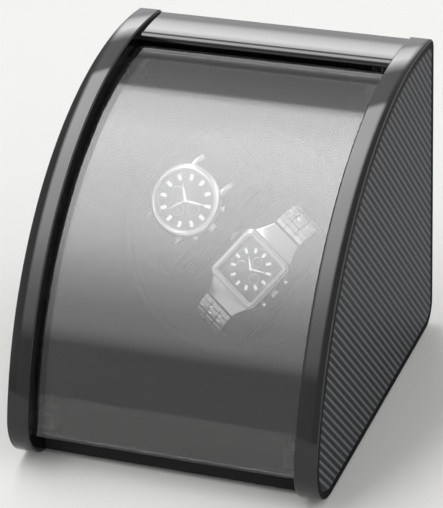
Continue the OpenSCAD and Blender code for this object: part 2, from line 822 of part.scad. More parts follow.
// Outline of a spur gear with a tooth on +X
module gear_outline(n) {
    root_r = gear_m * (n / 2 - 1.25);
    tip_r = gear_m * (n / 2 + 1);
    steps = 3;
    radii = [for (k = [0 : steps]) root_r + (tip_r - root_r) * k / steps];
    polygon([for (i = [0 : n - 1])
             each concat([for (r = radii) r * dir(i * 360 / n - tooth_half(n, r))],
                         [for (k = [steps : -1 : 0]) radii[k] * dir(i * 360 / n + tooth_half(n, radii[k]))])]);
}
function dir(a) = [cos(a), sin(a)];

module drive_gear() {
    hub_l = gear_w + 4;
    web_r = (gear_hub_r + gear_m * gear_teeth / 2) / 2;
    color(nylon) on_axis(gear_s) difference() {
        union() {
            linear_extrude(gear_w) gear_outline(gear_teeth);
            translate([0, 0, -2]) cylinder(h = hub_l, r = gear_hub_r);
        }
        translate([0, 0, -FAR / 8]) cylinder(h = FAR / 4, r = shaft_r + press_gap);
        for (a = [0 : 60 : 300])
            rotate([0, 0, a]) translate([web_r, 0, -FAR / 8]) cylinder(h = FAR / 4, r = 2.6);
    }
}

module motor_pinion() {
    color(bronze) on_axis(gear_s) translate([mesh_c, 0, 0]) {
        translate([0, 0, -1]) linear_extrude(gear_w + 2)
            rotate(180 / pinion_teeth) gear_outline(pinion_teeth);
        translate([0, 0, gearbox_low + 4 - gear_s])
            cylinder(h = gear_s + gear_w + 3 - gearbox_low - 4, r = motor_shaft_r);
    }
}

module cradle(side) {
    half = cushion_w / 2 + soft_gap;
    color(plastic) on_watch(side, disc_top) difference() {
        union() {
            translate([-half - cradle_wall, -cradle_l / 2, 0])
                cube([2 * (half + cradle_wall), cradle_l, cradle_t]);
            for (x = [-1, 1]) {
                translate([x * (half - cradle_rail / 2) - cradle_rail / 2, -cradle_l / 2, 0])
                    cube([cradle_rail, cradle_l, cradle_t + strap_room]);
                translate([x * (half + cradle_wall / 2) - cradle_wall / 2, -cradle_l / 2, 0])
                    cube([cradle_wall, cradle_l, cradle_t + cradle_h]);
            }
        }
        for (y = [-1, 1])
            translate([0, y * (cradle_l / 2 - 2 * head_r), -EPS])
                cylinder(h = cradle_t + 2 * EPS, r = screw_hole);
    }
}
module round_cradle() { cradle(LEFT); }
module square_cradle() { cradle(RIGHT); }

module cradle_screws() {
    color(steel) for (p = cradle_spots) on_table(cradle_top) translate(p) screw(cradle_t + disc_t - 1);
}

module cushion(side) {
    color("#26262a") on_watch(side, cushion_mid) slab(-cushion_w / 2, cushion_w / 2)
        stadium(cushion_l / 2 - cushion_end, cushion_end);
}
module round_cushion() { cushion(LEFT); }
module square_cushion() { cushion(RIGHT); }

// The loop of a strap round its cushion, open in front where the case sits
module strap_loop(outer, opening) {
    half = cushion_l / 2 - cushion_end;
    difference() {
        stadium(half, outer);
        stadium(half, strap_in);
        translate([-opening, 0]) square([2 * opening, FAR]);
    }
}

module round_strap() {
    color("#1d1a18") on_watch(LEFT, cushion_mid) slab(-strap_w / 2, strap_w / 2)
        strap_loop(strap_in + strap_t, round_r + bezel_lip);
}

// A link's place along the loop, as [y, s, turn], by its distance from the loop's front middle
function loop_spot(d, half, r) =
    let (bend = PI * r)
    d < half ? [d, r, 0] :
    d < half + bend ? let (a = (d - half) / r * 180 / PI) [half + r * sin(a), r * cos(a), -a] :
    [half - (d - half - bend), -r, 180];

module square_bracelet() {
    half = cushion_l / 2 - cushion_end;
    band_t = strap_t / 2;
    open_y = square_w / 2 + 1;
    loop_half = 2 * half + PI * strap_in;
    links = floor((loop_half - open_y) / link_pitch);
    color(steel) on_watch(RIGHT, cushion_mid) {
        slab(-strap_w / 2 + 1, strap_w / 2 - 1) strap_loop(strap_in + band_t, open_y);
        for (i = [0 : links - 1], end = [-1, 1]) {
            p = loop_spot(open_y + (i + 0.5) * link_pitch, half, strap_in);
            scale_y = link_pitch - link_gap;
            mirror([0, end < 0 ? 1 : 0, 0]) translate([0, p[0], p[1]]) rotate([p[2], 0, 0])
                translate([-strap_w / 2, -scale_y / 2, 0.4]) cube([strap_w, scale_y, strap_t - 0.4]);
        }
    }
}

module round_case() {
    well_r = round_r + bezel_lip - bezel_w - 0.8;
    lug_x = strap_w / 2 + soft_gap;
    lug_w = 2.8;
    lip_low = 2 * (crown_btn_r + soft_gap);
    color(steel) on_watch(LEFT, watch_s) difference() {
        union() {
            cylinder(h = watch_h, r = round_r);
            translate([0, 0, lip_low]) cylinder(h = watch_h - lip_low, r = round_r + bezel_lip);
            translate([0, 0, watch_h]) cylinder(h = bezel_h, r1 = round_r + bezel_lip, r2 = round_r - 1);
            for (x = [-1, 1], y = [-1, 1])
                hull() {
                    translate([x * (lug_x + lug_w / 2) - lug_w / 2, y * (round_r - 7) - 1, 2.2])
                        cube([lug_w, 2, 4]);
                    translate([x * (lug_x + lug_w / 2) - lug_w / 2, y * (round_r + 4) - 0.6, 0.4])
                        cube([lug_w, 1.2, 2.4]);
                }
        }
        translate([0, 0, dial_lift - dial_t]) cylinder(h = FAR, r = well_r);
        translate([0, 0, watch_h + bezel_h - crystal_t]) cylinder(h = FAR, r = well_r + 0.8);
    }
}

module round_dial() {
    well_r = round_r + bezel_lip - bezel_w - 0.8;
    color("#101013") on_watch(LEFT, dial_s - dial_t) cylinder(h = dial_t, r = well_r - run_gap);
}

// A pair of hands on their post, turned to ten past ten
module hands(reach) {
    post = 1.5;
    cylinder(h = post, r = 0.9);
    for (h = [[reach * 0.62, -55, 1.4], [reach * 0.9, 60, 1]])
        rotate([0, 0, -h[1]]) translate([-h[2] / 2, 0, post - 0.5 - h[2] / 4]) cube([h[2], h[0], 0.4]);
}

module round_hands() {
    color("#e8e8ea") on_watch(LEFT, dial_s) hands(round_r - bezel_w - 1);
}

module round_crystal() {
    color([0.85, 0.88, 0.9, 0.25]) on_watch(LEFT, bezel_s + bezel_h - crystal_t)
        cylinder(h = crystal_t, r = round_r + bezel_lip - bezel_w - run_gap);
}

// A crown with a pusher on each side of it, standing out along +X from a case's flank
module crown_set(flank, spread) {
    translate([flank, 0, 0]) rotate([0, 90, 0]) cylinder(h = crown_btn_l, r = crown_btn_r);
    for (y = [-1, 1])
        if (spread > 0)
            rotate([0, 0, y * spread]) translate([flank, 0, 0]) rotate([0, 90, 0])
                cylinder(h = crown_btn_l * 0.9, r = crown_btn_r * 0.7);
        else
            translate([flank, y * crown_btn_r * 3.4, 0]) rotate([0, 90, 0])
                cylinder(h = crown_btn_l * 0.9, r = crown_btn_r * 0.7);
}

module round_crown() {
    color(steel) on_watch(LEFT, watch_s + crown_btn_r + soft_gap)
        crown_set(round_r + soft_gap, pusher_spread);
}

module square_case() {
    well_w = square_w - 2 * bezel_w;
    top_w = square_w - 3;
    color(steel) on_watch(RIGHT, watch_s) difference() {
        union() {
            round_block(square_w, square_w, watch_h, square_corner);
            round_block(top_w, top_w, watch_h + bezel_h, square_corner - 1);
        }
        translate([-well_w / 2 + 1, -well_w / 2 + 1, dial_lift - dial_t]) cube([well_w - 2, well_w - 2, FAR]);
        translate([-well_w / 2, -well_w / 2, watch_h + bezel_h - crystal_t]) cube([well_w, well_w, FAR]);
    }
}

module square_dial() {
    dial_w = square_w - 2 * bezel_w - 2 - 2 * run_gap;
    color("#101013") on_watch(RIGHT, dial_s - dial_t)
        translate([-dial_w / 2, -dial_w / 2, 0]) cube([dial_w, dial_w, dial_t]);
}

module square_hands() {
    color("#e8e8ea") on_watch(RIGHT, dial_s) hands(square_w / 2 - bezel_w - 1);
}

module square_crystal() {
    crystal_w = square_w - 2 * bezel_w - 2 * run_gap;
    color([0.85, 0.88, 0.9, 0.25]) on_watch(RIGHT, bezel_s + bezel_h - crystal_t)
        translate([-crystal_w / 2, -crystal_w / 2, 0]) cube([crystal_w, crystal_w, crystal_t]);
}

module square_crown() {
    color(steel) on_watch(RIGHT, watch_s + crown_btn_r + soft_gap) crown_set(square_w / 2, 0);
}

module control_board() {
    chip = [12, 2, 9];
    chip_rise = 4;
    capacitor_r = 4;
    capacitor_l = 11;
    color("#2f5a3a") {
        translate([-selector_x - board_w / 2, board_in, control_z - board_h / 2])
            cube([board_w, board_t, board_h]);
        for (i = [-1, 0, 1])
            translate([-selector_x + i * board_w / 4 - chip[0] / 2, board_in - chip[1], control_z + chip_rise])
                cube(chip);
        rod_y(board_in - capacitor_l, board_in + EPS, capacitor_r,
              [-selector_x + board_w / 3, control_z - board_h / 4]);
    }
}

module selector_bodies() {
    color(plastic) for (x = selector_spots) difference() {
        translate([x - selector_s / 2, board_out, control_z - selector_s / 2])
            cube([selector_s, selector_l, selector_s]);
        rod_y(board_out + 3, panel_in + EPS, knob_shaft_r + run_gap, [x, control_z]);
    }
}

// A fluted knob with a raised pointer, on its shaft
module knob(x) {
    y0 = panel_out + soft_gap;
    flutes = 18;
    flute_r = 0.8;
    color(plastic) difference() {
        union() {
            rod_y(y0, y0 + knob_h, knob_r, [x, control_z]);
            rod_y(board_out + 4, y0 + 1, knob_shaft_r, [x, control_z]);
            translate([x - 0.8, y0 + knob_h - 1, control_z]) cube([1.6, 1.6, knob_r - 1]);
        }
        for (i = [0 : flutes - 1])
            rod_y(y0 + 1.5, y0 + knob_h + EPS, flute_r,
                  [x, control_z] + (knob_r + 0.3) * dir((i + 0.5) * 360 / flutes));
    }
}
module mode_knob() { knob(selector_spots[0]); }
module turns_knob() { knob(selector_spots[1]); }

// Puts a drawing at the rocker's pivot
module at_rocker() {
    translate([inlet_x, rocker_y, switch_z]) children();
}

module power_switch_body() {
    flange = 1.5;
    depth = 14;
    color(plastic) at_rocker() difference() {
        union() {
            translate([-housing_w / 2, -depth, -housing_l / 2])
                cube([housing_w, depth + rocker_out, housing_l]);
            translate([-housing_w / 2 - flange, rocker_out - housing_lip, -housing_l / 2 - flange])
                cube([housing_w + 2 * flange, housing_lip, housing_l + 2 * flange]);
        }
        translate([-cavity_w / 2, -cavity_depth, -cavity_l / 2]) cube([cavity_w, FAR, cavity_l]);
        rod_x(-cavity_w / 2 - 1, cavity_w / 2 + 1, rocker_pin_r + run_gap, [0, 0]);
    }
}

module power_rocker() {
    color("#1b1b1d") at_rocker() rotate([rocker_tilt, 0, 0]) {
        slab(-rocker_w / 2, rocker_w / 2)
            polygon([[-rocker_in, -rocker_l / 2], [-rocker_in, rocker_l / 2], [rocker_out, rocker_l / 2],
                     [rocker_out - 1.6, 0], [rocker_out, -rocker_l / 2]]);
        rod_x(-cavity_w / 2 - 0.8, cavity_w / 2 + 0.8, rocker_pin_r, [0, 0]);
    }
}

module power_inlet() {
    wall = 1.5;
    body_l = 11;
    nut_t = 2;
    depth = 10;
    at = [inlet_x, control_z];
    color("#1f1f21") difference() {
        union() {
            rod_y(panel_in - body_l, panel_in, plug_r + wall + 1.5, at);
            rod_y(panel_in - EPS, panel_out + nut_t, plug_r + wall, at);
            rod_y(panel_out, panel_out + nut_t, plug_r + wall + 2.5, at);
        }
        rod_y(panel_out + nut_t - depth, panel_out + nut_t + EPS, plug_r, at);
    }
    color(steel) rod_y(panel_out + nut_t - depth - 0.1, panel_out + nut_t - 1, 1, at);
}

left_cheek();
right_cheek();
left_inlay();
right_inlay();
top_rail();
base_board();
case_dowels();
front_sill();
back_panel();
back_screws();
upper_batten();
rubber_feet();
liner_boards();
deck();
deck_cleats();
deck_screws();
door_stops();
stop_magnets();
pivot_bushes();
door_panel();
pivot_blocks();
pivot_pins();
catch_plates();
front_bush();
rear_bush();
drive_plate();
plate_pillars();
drive_screws();
motor_gearbox();
motor_can();
turntable_disc();
turntable_shaft();
retaining_clip();
drive_gear();
motor_pinion();
round_cradle();
square_cradle();
cradle_screws();
round_cushion();
round_strap();
round_case();
round_dial();
round_hands();
round_crystal();
round_crown();
square_cushion();
square_bracelet();
square_case();
square_dial();
square_hands();
square_crystal();
square_crown();
control_board();
selector_bodies();
mode_knob();
turns_knob();
power_switch_body();
power_rocker();
power_inlet();
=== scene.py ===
import json
import math

import bmesh
import bpy
from mathutils import Matrix, Vector
from mathutils.geometry import tessellate_polygon


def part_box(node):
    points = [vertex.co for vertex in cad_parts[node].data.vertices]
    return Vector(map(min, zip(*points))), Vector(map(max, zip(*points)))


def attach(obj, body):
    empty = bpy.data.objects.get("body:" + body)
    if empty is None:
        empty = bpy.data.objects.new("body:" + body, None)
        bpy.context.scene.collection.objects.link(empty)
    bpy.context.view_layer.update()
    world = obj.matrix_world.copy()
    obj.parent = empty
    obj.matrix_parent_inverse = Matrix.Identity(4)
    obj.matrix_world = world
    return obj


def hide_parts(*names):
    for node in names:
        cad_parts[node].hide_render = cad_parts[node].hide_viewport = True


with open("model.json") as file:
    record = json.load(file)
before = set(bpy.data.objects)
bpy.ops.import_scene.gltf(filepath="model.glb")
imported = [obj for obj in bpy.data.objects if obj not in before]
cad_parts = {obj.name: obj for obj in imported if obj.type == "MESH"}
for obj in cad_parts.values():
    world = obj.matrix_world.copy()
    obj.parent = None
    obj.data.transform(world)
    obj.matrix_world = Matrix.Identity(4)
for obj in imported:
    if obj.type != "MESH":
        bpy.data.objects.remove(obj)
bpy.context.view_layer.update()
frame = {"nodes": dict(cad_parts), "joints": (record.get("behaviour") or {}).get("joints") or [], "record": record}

bl_info = {
    "name": "Watch winder box",
    "version": (1, 0, 0),
    "blender": (4, 5, 0),
    "location": "3D View > Sidebar > Winder",
    "description": "Dresses the packed watch winder: case, door, turntable, watches and controls",
    "category": "Object",
}

MM = 0.001
NODES = frame["nodes"]
JOINTS = {j["name"]: j for j in frame["joints"]}

# The case's curve in the plane of a cheek, in millimetres: centre, radius and corner centres with their radii
ARC = (82.0219, -10.0)
ARC_R = 200.0
FRONT_CORNER = (-89.0219, 27.0, 25.0)
TOP_CORNER = (107.0219, 181.374, 7.0)
BACK_CORNER = (99.0219, 17.0, 15.0)
INNER_X, OUTER_X = 77.0, 90.0
PANEL_Y = 105.0219

# The turntable's frame: x across, y up the deck, z out towards the door
SPIN = JOINTS["turntable_spin"]
OUTWARD = Vector(SPIN["axis"])
ACROSS = Vector((1, 0, 0))
DECK = Matrix.Translation(Vector(SPIN["pos_m"]) / MM) @ Matrix(
    (ACROSS, OUTWARD.cross(ACROSS), OUTWARD)).transposed().to_4x4()
TABLE = DECK @ Matrix.Rotation(math.radians(-37), 4, "Z")
WATCH_PITCH = 55.0
WATCH_BACK = 38.6
CUSHION_MID = 28.3
STRAP_HALF = 10.3
DIAL_TOP = 6.4


def on_watch(side, height):
    """The frame of the left (-1) or right (1) watch place, at a height above the deck."""
    return TABLE @ Matrix.Translation((side * WATCH_PITCH / 2, 0, height))


ROUND, SQUARE = on_watch(-1, WATCH_BACK), on_watch(1, WATCH_BACK)


def linear(hex_colour):
    """An sRGB hex value as linear RGBA."""
    parts = [int(hex_colour[i:i + 2], 16) / 255 for i in (1, 3, 5)]
    return (*[c / 12.92 if c <= 0.04045 else ((c + 0.055) / 1.055) ** 2.4 for c in parts], 1.0)


def add(tree, kind, inputs=None, **settings):
    """Adds a node with its settings, and sets or links its inputs. A node as a value means its first output."""
    made = tree.nodes.new(kind)
    for key, value in settings.items():
        setattr(made, key, value)
    for key, value in (inputs or {}).items():
        if isinstance(value, bpy.types.Node):
            value = value.outputs[0]
        if isinstance(value, bpy.types.NodeSocket):
            tree.links.new(value, made.inputs[key])
        else:
            made.inputs[key].default_value = value
    return made


def per(size_mm):
    """The scale of a texture whose pattern has a real size."""
    return 1 / (size_mm * MM)


def new_finish(name, *grains_mm, **sockets):
    """A material with a Principled shader and its plain sockets set: the material, its tree, the shader, Object
    coordinates, and a noise for each grain of a real size."""
    made = bpy.data.materials.new(name)
    made.use_nodes = True
    tree = made.node_tree
    tree.nodes.clear()
    shader = add(tree, "ShaderNodeBsdfPrincipled", {k.replace("_", " "): v for k, v in sockets.items()})
    add(tree, "ShaderNodeOutputMaterial", {"Surface": shader})
    where = add(tree, "ShaderNodeTexCoord").outputs["Object"]
    grains = [add(tree, "ShaderNodeTexNoise", {"Vector": where, "Scale": per(size), "Detail": 3.0})
              for size in grains_mm]
    return made, tree, shader, where, *grains


def tint(tree, shader, factor, dark, light):
    """Links a blend of two colours, each an sRGB hex value, linear RGBA or a socket, to the base colour."""
    ends = [linear(c) if isinstance(c, str) else c for c in (dark, light)]
    mixed = add(tree, "ShaderNodeMix", {0: factor, 6: ends[0], 7: ends[1]}, data_type="RGBA")
    tree.links.new(mixed.outputs[2], shader.inputs["Base Color"])


def gloss(tree, shader, factor, low, high):
    """Links a spread of roughness to the shader."""
    spread = add(tree, "ShaderNodeMapRange", {"Value": factor, "To Min": low, "To Max": high})
    tree.links.new(spread.outputs[0], shader.inputs["Roughness"])


def relief(tree, shader, height, depth_mm):
    """Links a bump of a real depth to the shader."""
    bump = add(tree, "ShaderNodeBump", {"Height": height, "Distance": depth_mm * MM})
    tree.links.new(bump.outputs[0], shader.inputs["Normal"])


def grained(name, dark, light, grain_mm, rough, depth_mm, **sockets):
    """A finish whose tone, gloss and relief all follow one grain of a real size."""
    made, tree, shader, _, grain = new_finish(name, grain_mm, **sockets)
    tint(tree, shader, grain, dark, light)
    gloss(tree, shader, grain, rough[0], rough[1])
    relief(tree, shader, grain, depth_mm)
    return made


def black_lacquer():
    # Polyester lacquer, sprayed and buffed: deep black, mirror gloss, a faint slow waviness
    made, tree, shader, where, haze = new_finish("polyester_lacquer", 14.0, IOR=1.54)
    wave = add(tree, "ShaderNodeTexNoise", {"Vector": where, "Scale": per(9.0), "Detail": 1.0})
    tint(tree, shader, haze, "#08080a", "#0d0d0f")
    gloss(tree, shader, haze, 0.03, 0.07)
    relief(tree, shader, wave, 0.006)
    return made


def carbon_twill(tow_mm, dark, light):
    # Carbon-look laminate, a 2 by 2 twill pressed under a satin film: steep diagonals of light and dark tows. The
    # light tows are a painted sheen that stands in for the film's gloss, and each tow is painted darker towards its
    # edges as painted shade
    made, tree, shader, where, fibre, film = new_finish("carbon_twill_laminate", 0.5, 0.8, Specular_IOR_Level=0.02)
    place = add(tree, "ShaderNodeSeparateXYZ", {0: where})
    # Each row makes a value of two others: the tow at a point, which tow lies on top, and the way along and
    # across it
    sums = [("u", "MULTIPLY", "y", per(tow_mm)), ("v", "MULTIPLY", "z", per(tow_mm)),
            ("column", "FLOOR", "u", 0.0), ("row", "FLOOR", "v", 0.0),
            ("diagonal", "ADD", "column", "row"), ("step", "FLOORED_MODULO", "diagonal", 4.0),
            ("warp_up", "LESS_THAN", "step", 1.5),
            ("warp_run", "ADD", "v", "column"), ("warp_way", "FLOORED_MODULO", "warp_run", 4.0),
            ("weft_run", "ADD", "u", "row"), ("weft_way", "FLOORED_MODULO", "weft_run", 4.0),
            ("weft_past", "SUBTRACT", "weft_way", 2.0),
            ("warp_along", "MULTIPLY", "warp_way", 0.5), ("weft_along", "MULTIPLY", "weft_past", 0.5),
            ("warp_across", "FRACT", "u", 0.0), ("weft_across", "FRACT", "v", 0.0)]
    for share in ("warp_along", "weft_along", "warp_across", "weft_across"):
        # A parabola that is 1 in the middle of a tow and 0 at its edges
        sums += [(share + "_twice", "MULTIPLY", share, 2.0), (share + "_edge", "SUBTRACT", share + "_twice", 1.0),
                 (share + "_fall", "MULTIPLY", share + "_edge", share + "_edge"),
                 (share + "_arch", "SUBTRACT", 1.0, share + "_fall")]
    for tow in ("warp", "weft"):
        sums += [(tow + "_crimp", "MAXIMUM", tow + "_along_arch", 0.0),
                 (tow, "MULTIPLY", tow + "_across_arch", tow + "_crimp")]
    value = {"y": place.outputs["Y"], "z": place.outputs["Z"]}
    for name, operation, a, b in sums:
        value[name] = add(tree, "ShaderNodeMath", {0: value.get(a, a), 1: value.get(b, b)},
                          operation=operation)
    swell = add(tree, "ShaderNodeMix", {0: value["warp_up"], 2: value["weft"], 3: value["warp"]})
    # Painted sheen and shade: a tow on top takes the light colour, strongest in its middle, and every tow fades to
    # the dark colour at its edges
    lit = add(tree, "ShaderNodeMath", {0: value["warp_up"], 1: 0.06}, operation="ADD")
    shade = add(tree, "ShaderNodeMath", {0: lit, 1: swell}, operation="MULTIPLY")
    both = add(tree, "ShaderNodeMath", {0: fibre, 1: 0.16, 2: shade}, operation="MULTIPLY_ADD")
    tint(tree, shader, both, dark, light)
    gloss(tree, shader, film, 0.3, 0.42)
    relief(tree, shader, swell, 0.12)
    return made


def smoked_acrylic(alpha):
    # Cast acrylic tinted with smoke, polished: see-through, with mirror gloss on both faces. The IOR is raised from
    # 1.49 because the alpha thins the gloss as well
    made, tree, shader, _, haze = new_finish("smoked_cast_acrylic", 30.0, Alpha=alpha, IOR=2.08,
                                             Specular_IOR_Level=1.0)
    tint(tree, shader, haze, "#060607", "#0c0c0d")
    gloss(tree, shader, haze, 0.015, 0.03)
    return made


def suede():
    # Black flock suede: no gloss, a fine nap with brushed patches that catch a soft sheen
    made, tree, shader, _, nap, patch = new_finish("black_flock_suede", 0.5, 16.0, Sheen_Weight=0.04,
                                                   Sheen_Roughness=0.5, Specular_IOR_Level=0.05)
    brushed = add(tree, "ShaderNodeMath", {0: nap, 1: patch}, operation="MULTIPLY")
    tint(tree, shader, brushed, "#040405", "#101012")
    gloss(tree, shader, nap, 0.85, 1.0)
    relief(tree, shader, nap, 0.008)
    return made


def hide(name, dark, light, pebble_mm, rough, depth_mm):
    # Grained hide: rounded pebbles with fine creases between them, and a low gloss on their tops
    made, tree, shader, where, soft = new_finish(name, pebble_mm * 3, Specular_IOR_Level=0.45)
    cells = add(tree, "ShaderNodeTexVoronoi", {"Vector": where, "Scale": per(pebble_mm)},
                feature="DISTANCE_TO_EDGE")
    pebble = add(tree, "ShaderNodeMapRange", {"Value": cells.outputs["Distance"], "From Max": 0.3},
                 interpolation_type="SMOOTHSTEP")
    # The tone is darker in the creases and lighter on the pebble tops, multiplied by a slower random tone
    pebble_tone = add(tree, "ShaderNodeMath", {0: pebble, 1: soft}, operation="MULTIPLY")
    tint(tree, shader, pebble_tone, dark, light)
    gloss(tree, shader, pebble, rough[1], rough[0])
    relief(tree, shader, pebble, depth_mm)
    return made


def steel(name, dark, light, rough, place, lines_mm):
    # Stainless steel with a grain along the watch's strap: fine straight lines, drawn coarser than real to show
    made, tree, shader, where = new_finish(name, Metallic=1.0)
    turn = place.to_3x3().inverted()
    local = add(tree, "ShaderNodeMapping", {"Vector": where, "Rotation": turn.to_euler()})
    stretched = add(tree, "ShaderNodeMapping", {"Vector": local, "Scale": (1.0, 0.04, 1.0)})
    lines = add(tree, "ShaderNodeTexNoise", {"Vector": stretched, "Scale": per(lines_mm),
                                             "Detail": 3.0})
    tint(tree, shader, lines, dark, light)
    gloss(tree, shader, lines, rough[0], rough[1])
    return made


def sunray_dial(name, dark, light, place):
    # Lacquered dial brushed out from its middle: thin rays that turn from dark to pale round the face
    made, tree, shader, where = new_finish(name, Metallic=0.35)
    inverse = place.inverted()
    local = add(tree, "ShaderNodeMapping", {"Vector": where, "Rotation": inverse.to_3x3().to_euler(),
                                            "Location": inverse.translation * MM})
    flat = add(tree, "ShaderNodeVectorMath", {0: local, 1: (1, 1, 0)}, operation="MULTIPLY")
    ray = add(tree, "ShaderNodeVectorMath", {0: flat}, operation="NORMALIZE")
    rays = add(tree, "ShaderNodeTexNoise", {"Vector": ray, "Scale": 14.0, "Detail": 3.0})
    tint(tree, shader, rays, dark, light)
    gloss(tree, shader, rays, 0.28, 0.42)
    return made


def circuit_board(board_y):
    # Green solder mask over copper tracks, with black moulded chips on the side away from the panel
    made, tree, shader, where, mask = new_finish("solder_mask_board", 1.0)
    turned = add(tree, "ShaderNodeMapping", {"Vector": where, "Rotation": (math.radians(90), 0, 0)})
    tracks = add(tree, "ShaderNodeTexBrick", {"Vector": turned, "Scale": per(6.0), "Mortar Size": 0.03})
    green = add(tree, "ShaderNodeMix", {0: tracks.outputs["Fac"], 6: linear("#12381f"), 7: linear("#2f6a3e")},
                data_type="RGBA")
    place = add(tree, "ShaderNodeSeparateXYZ", {0: where})
    chip = add(tree, "ShaderNodeMath", {0: place.outputs["Y"], 1: board_y * MM}, operation="LESS_THAN")
    tint(tree, shader, chip, green.outputs[2], "#141416")
    gloss(tree, shader, mask, 0.3, 0.45)
    return made


def make_finishes(sizes, looks):
    """Every finish of the object by the name that the pieces use."""
    made = {
        "lacquer": black_lacquer(),
        # Satin black edge paint round the inlay: it stays dark at a flat angle where the lacquer mirrors
        "edge": grained("satin_edge_paint", "#0c0c0d", "#131314", 0.6, (0.42, 0.55), 0.006,
                        Specular_IOR_Level=0.02),
        # The twill's light colour is a painted sheen on the tows that lie on top
        "twill": carbon_twill(sizes.tow / MM, looks.twill_dark, looks.twill_painted_sheen),
        "acrylic": smoked_acrylic(looks.door_alpha),
        "suede": suede(),
        "cushion": hide("leatherette", "#0c0c0e", "#26262a", 0.9, (0.38, 0.6), 0.06),
        "strap": hide("calf_leather", "#0d0b0a", "#2a2420", 1.1, (0.4, 0.65), 0.08),
        "round_brushed": steel("brushed_stainless_round", "#c6c8ca", "#ebebec", (0.2, 0.34), ROUND, 0.25),
        "square_brushed": steel("brushed_stainless_square", "#c6c8ca", "#ebebec", (0.2, 0.34), SQUARE, 0.25),
        "polished": steel("polished_stainless", "#e4e5e6", "#f0f0f0", (0.14, 0.2), ROUND, 1.5),
        "round_dial": sunray_dial("sunray_dial_round", "#77797d", "#b4b6b9", ROUND),
        "square_dial": sunray_dial("sunray_dial_square", "#77797d", "#b4b6b9", SQUARE),
        # Spark-eroded ABS moulding: black, low gloss, an even sandy texture drawn at twice its real grain
        "plastic": grained("spark_eroded_abs", "#0b0b0c", "#161618", 0.5, (0.5, 0.66), 0.004),
        # Fibreboard dyed black: flat, with a fine grain of paler fibres
        "board": grained("dyed_fibreboard", "#0e0e0f", "#232322", 0.9, (0.75, 0.95), 0.04, Specular_IOR_Level=0.2),
        # Zinc-plated steel: bright grey with a slightly mottled plating
        "zinc": grained("zinc_plated_steel", "#a4a7ab", "#c9cccf", 1.2, (0.25, 0.42), 0.006, Metallic=1.0),
        # Black passivated zinc: dark grey metal with a dull sheen
        "dark_zinc": grained("black_passivated_zinc", "#1c1d1f", "#2e3033", 1.0, (0.35, 0.5), 0.004, Metallic=1.0),
        # Sintered bronze: dull yellow brown, open pores
        "bronze": grained("sintered_bronze", "#6e5229", "#b08a50", 0.4, (0.4, 0.6), 0.02, Metallic=1.0),
        # Natural nylon: waxy ivory with a soft gloss
        "nylon": grained("natural_nylon", "#cfcabb", "#e8e4d8", 2.5, (0.35, 0.5), 0.01, Subsurface_Weight=0.1),
        # Nitrile rubber: dull black that picks up dust in its grain
        "rubber": grained("nitrile_rubber", "#141414", "#262626", 0.7, (0.8, 0.95), 0.03, Specular_IOR_Level=0.3),
        # Luminous paint in white: thick, chalky, a little uneven. Its emission is a painted glow that lights the
        # markers in the dark box
        "lume": grained("white_lume_paint_painted_glow", "#f4f4f0", "#fcfcfa", 0.3, (0.5, 0.7), 0.004, Emission_Strength=0.6),
        # Dial printing in the same paint, thinner, with a fainter painted glow
        "dial_print": grained("lume_dial_print_painted_glow", "#e4e4e0", "#f2f2ee", 0.3, (0.5, 0.7), 0.002,
                              Emission_Strength=0.3),
        # Screen-printed white: thin and matt
        "print": grained("white_screen_print", "#c9c9c6", "#e6e6e2", 0.3, (0.55, 0.75), 0.004),
        # Waxed polyester thread: pale grey, slightly shiny
        "thread": grained("waxed_thread", "#3a3936", "#6a6862", 0.2, (0.45, 0.6), 0.02),
        # Sapphire crystal: clear, with a clean mirror gloss
        "crystal": grained("sapphire_crystal", "#030304", "#060607", 20.0, (0.01, 0.02), 0.0, Alpha=0.12, IOR=1.77),
        # Neodymium magnet: nickel plated, near mirror
        "nickel": grained("nickel_plating", "#b9b7b1", "#d4d2cc", 2.0, (0.12, 0.2), 0.002, Metallic=1.0),
    }
    made["circuit"] = circuit_board(82.4)
    return made


FINISH = {}
BODY_OF = {node: body for body, nodes in frame["record"]["behaviour"]["bodies"].items() for node in nodes}
STILL = Matrix.Identity(4)


def circle(count):
    """Points on a circle of radius 1."""
    return [(math.cos(math.tau * i / count), math.sin(math.tau * i / count)) for i in range(count)]


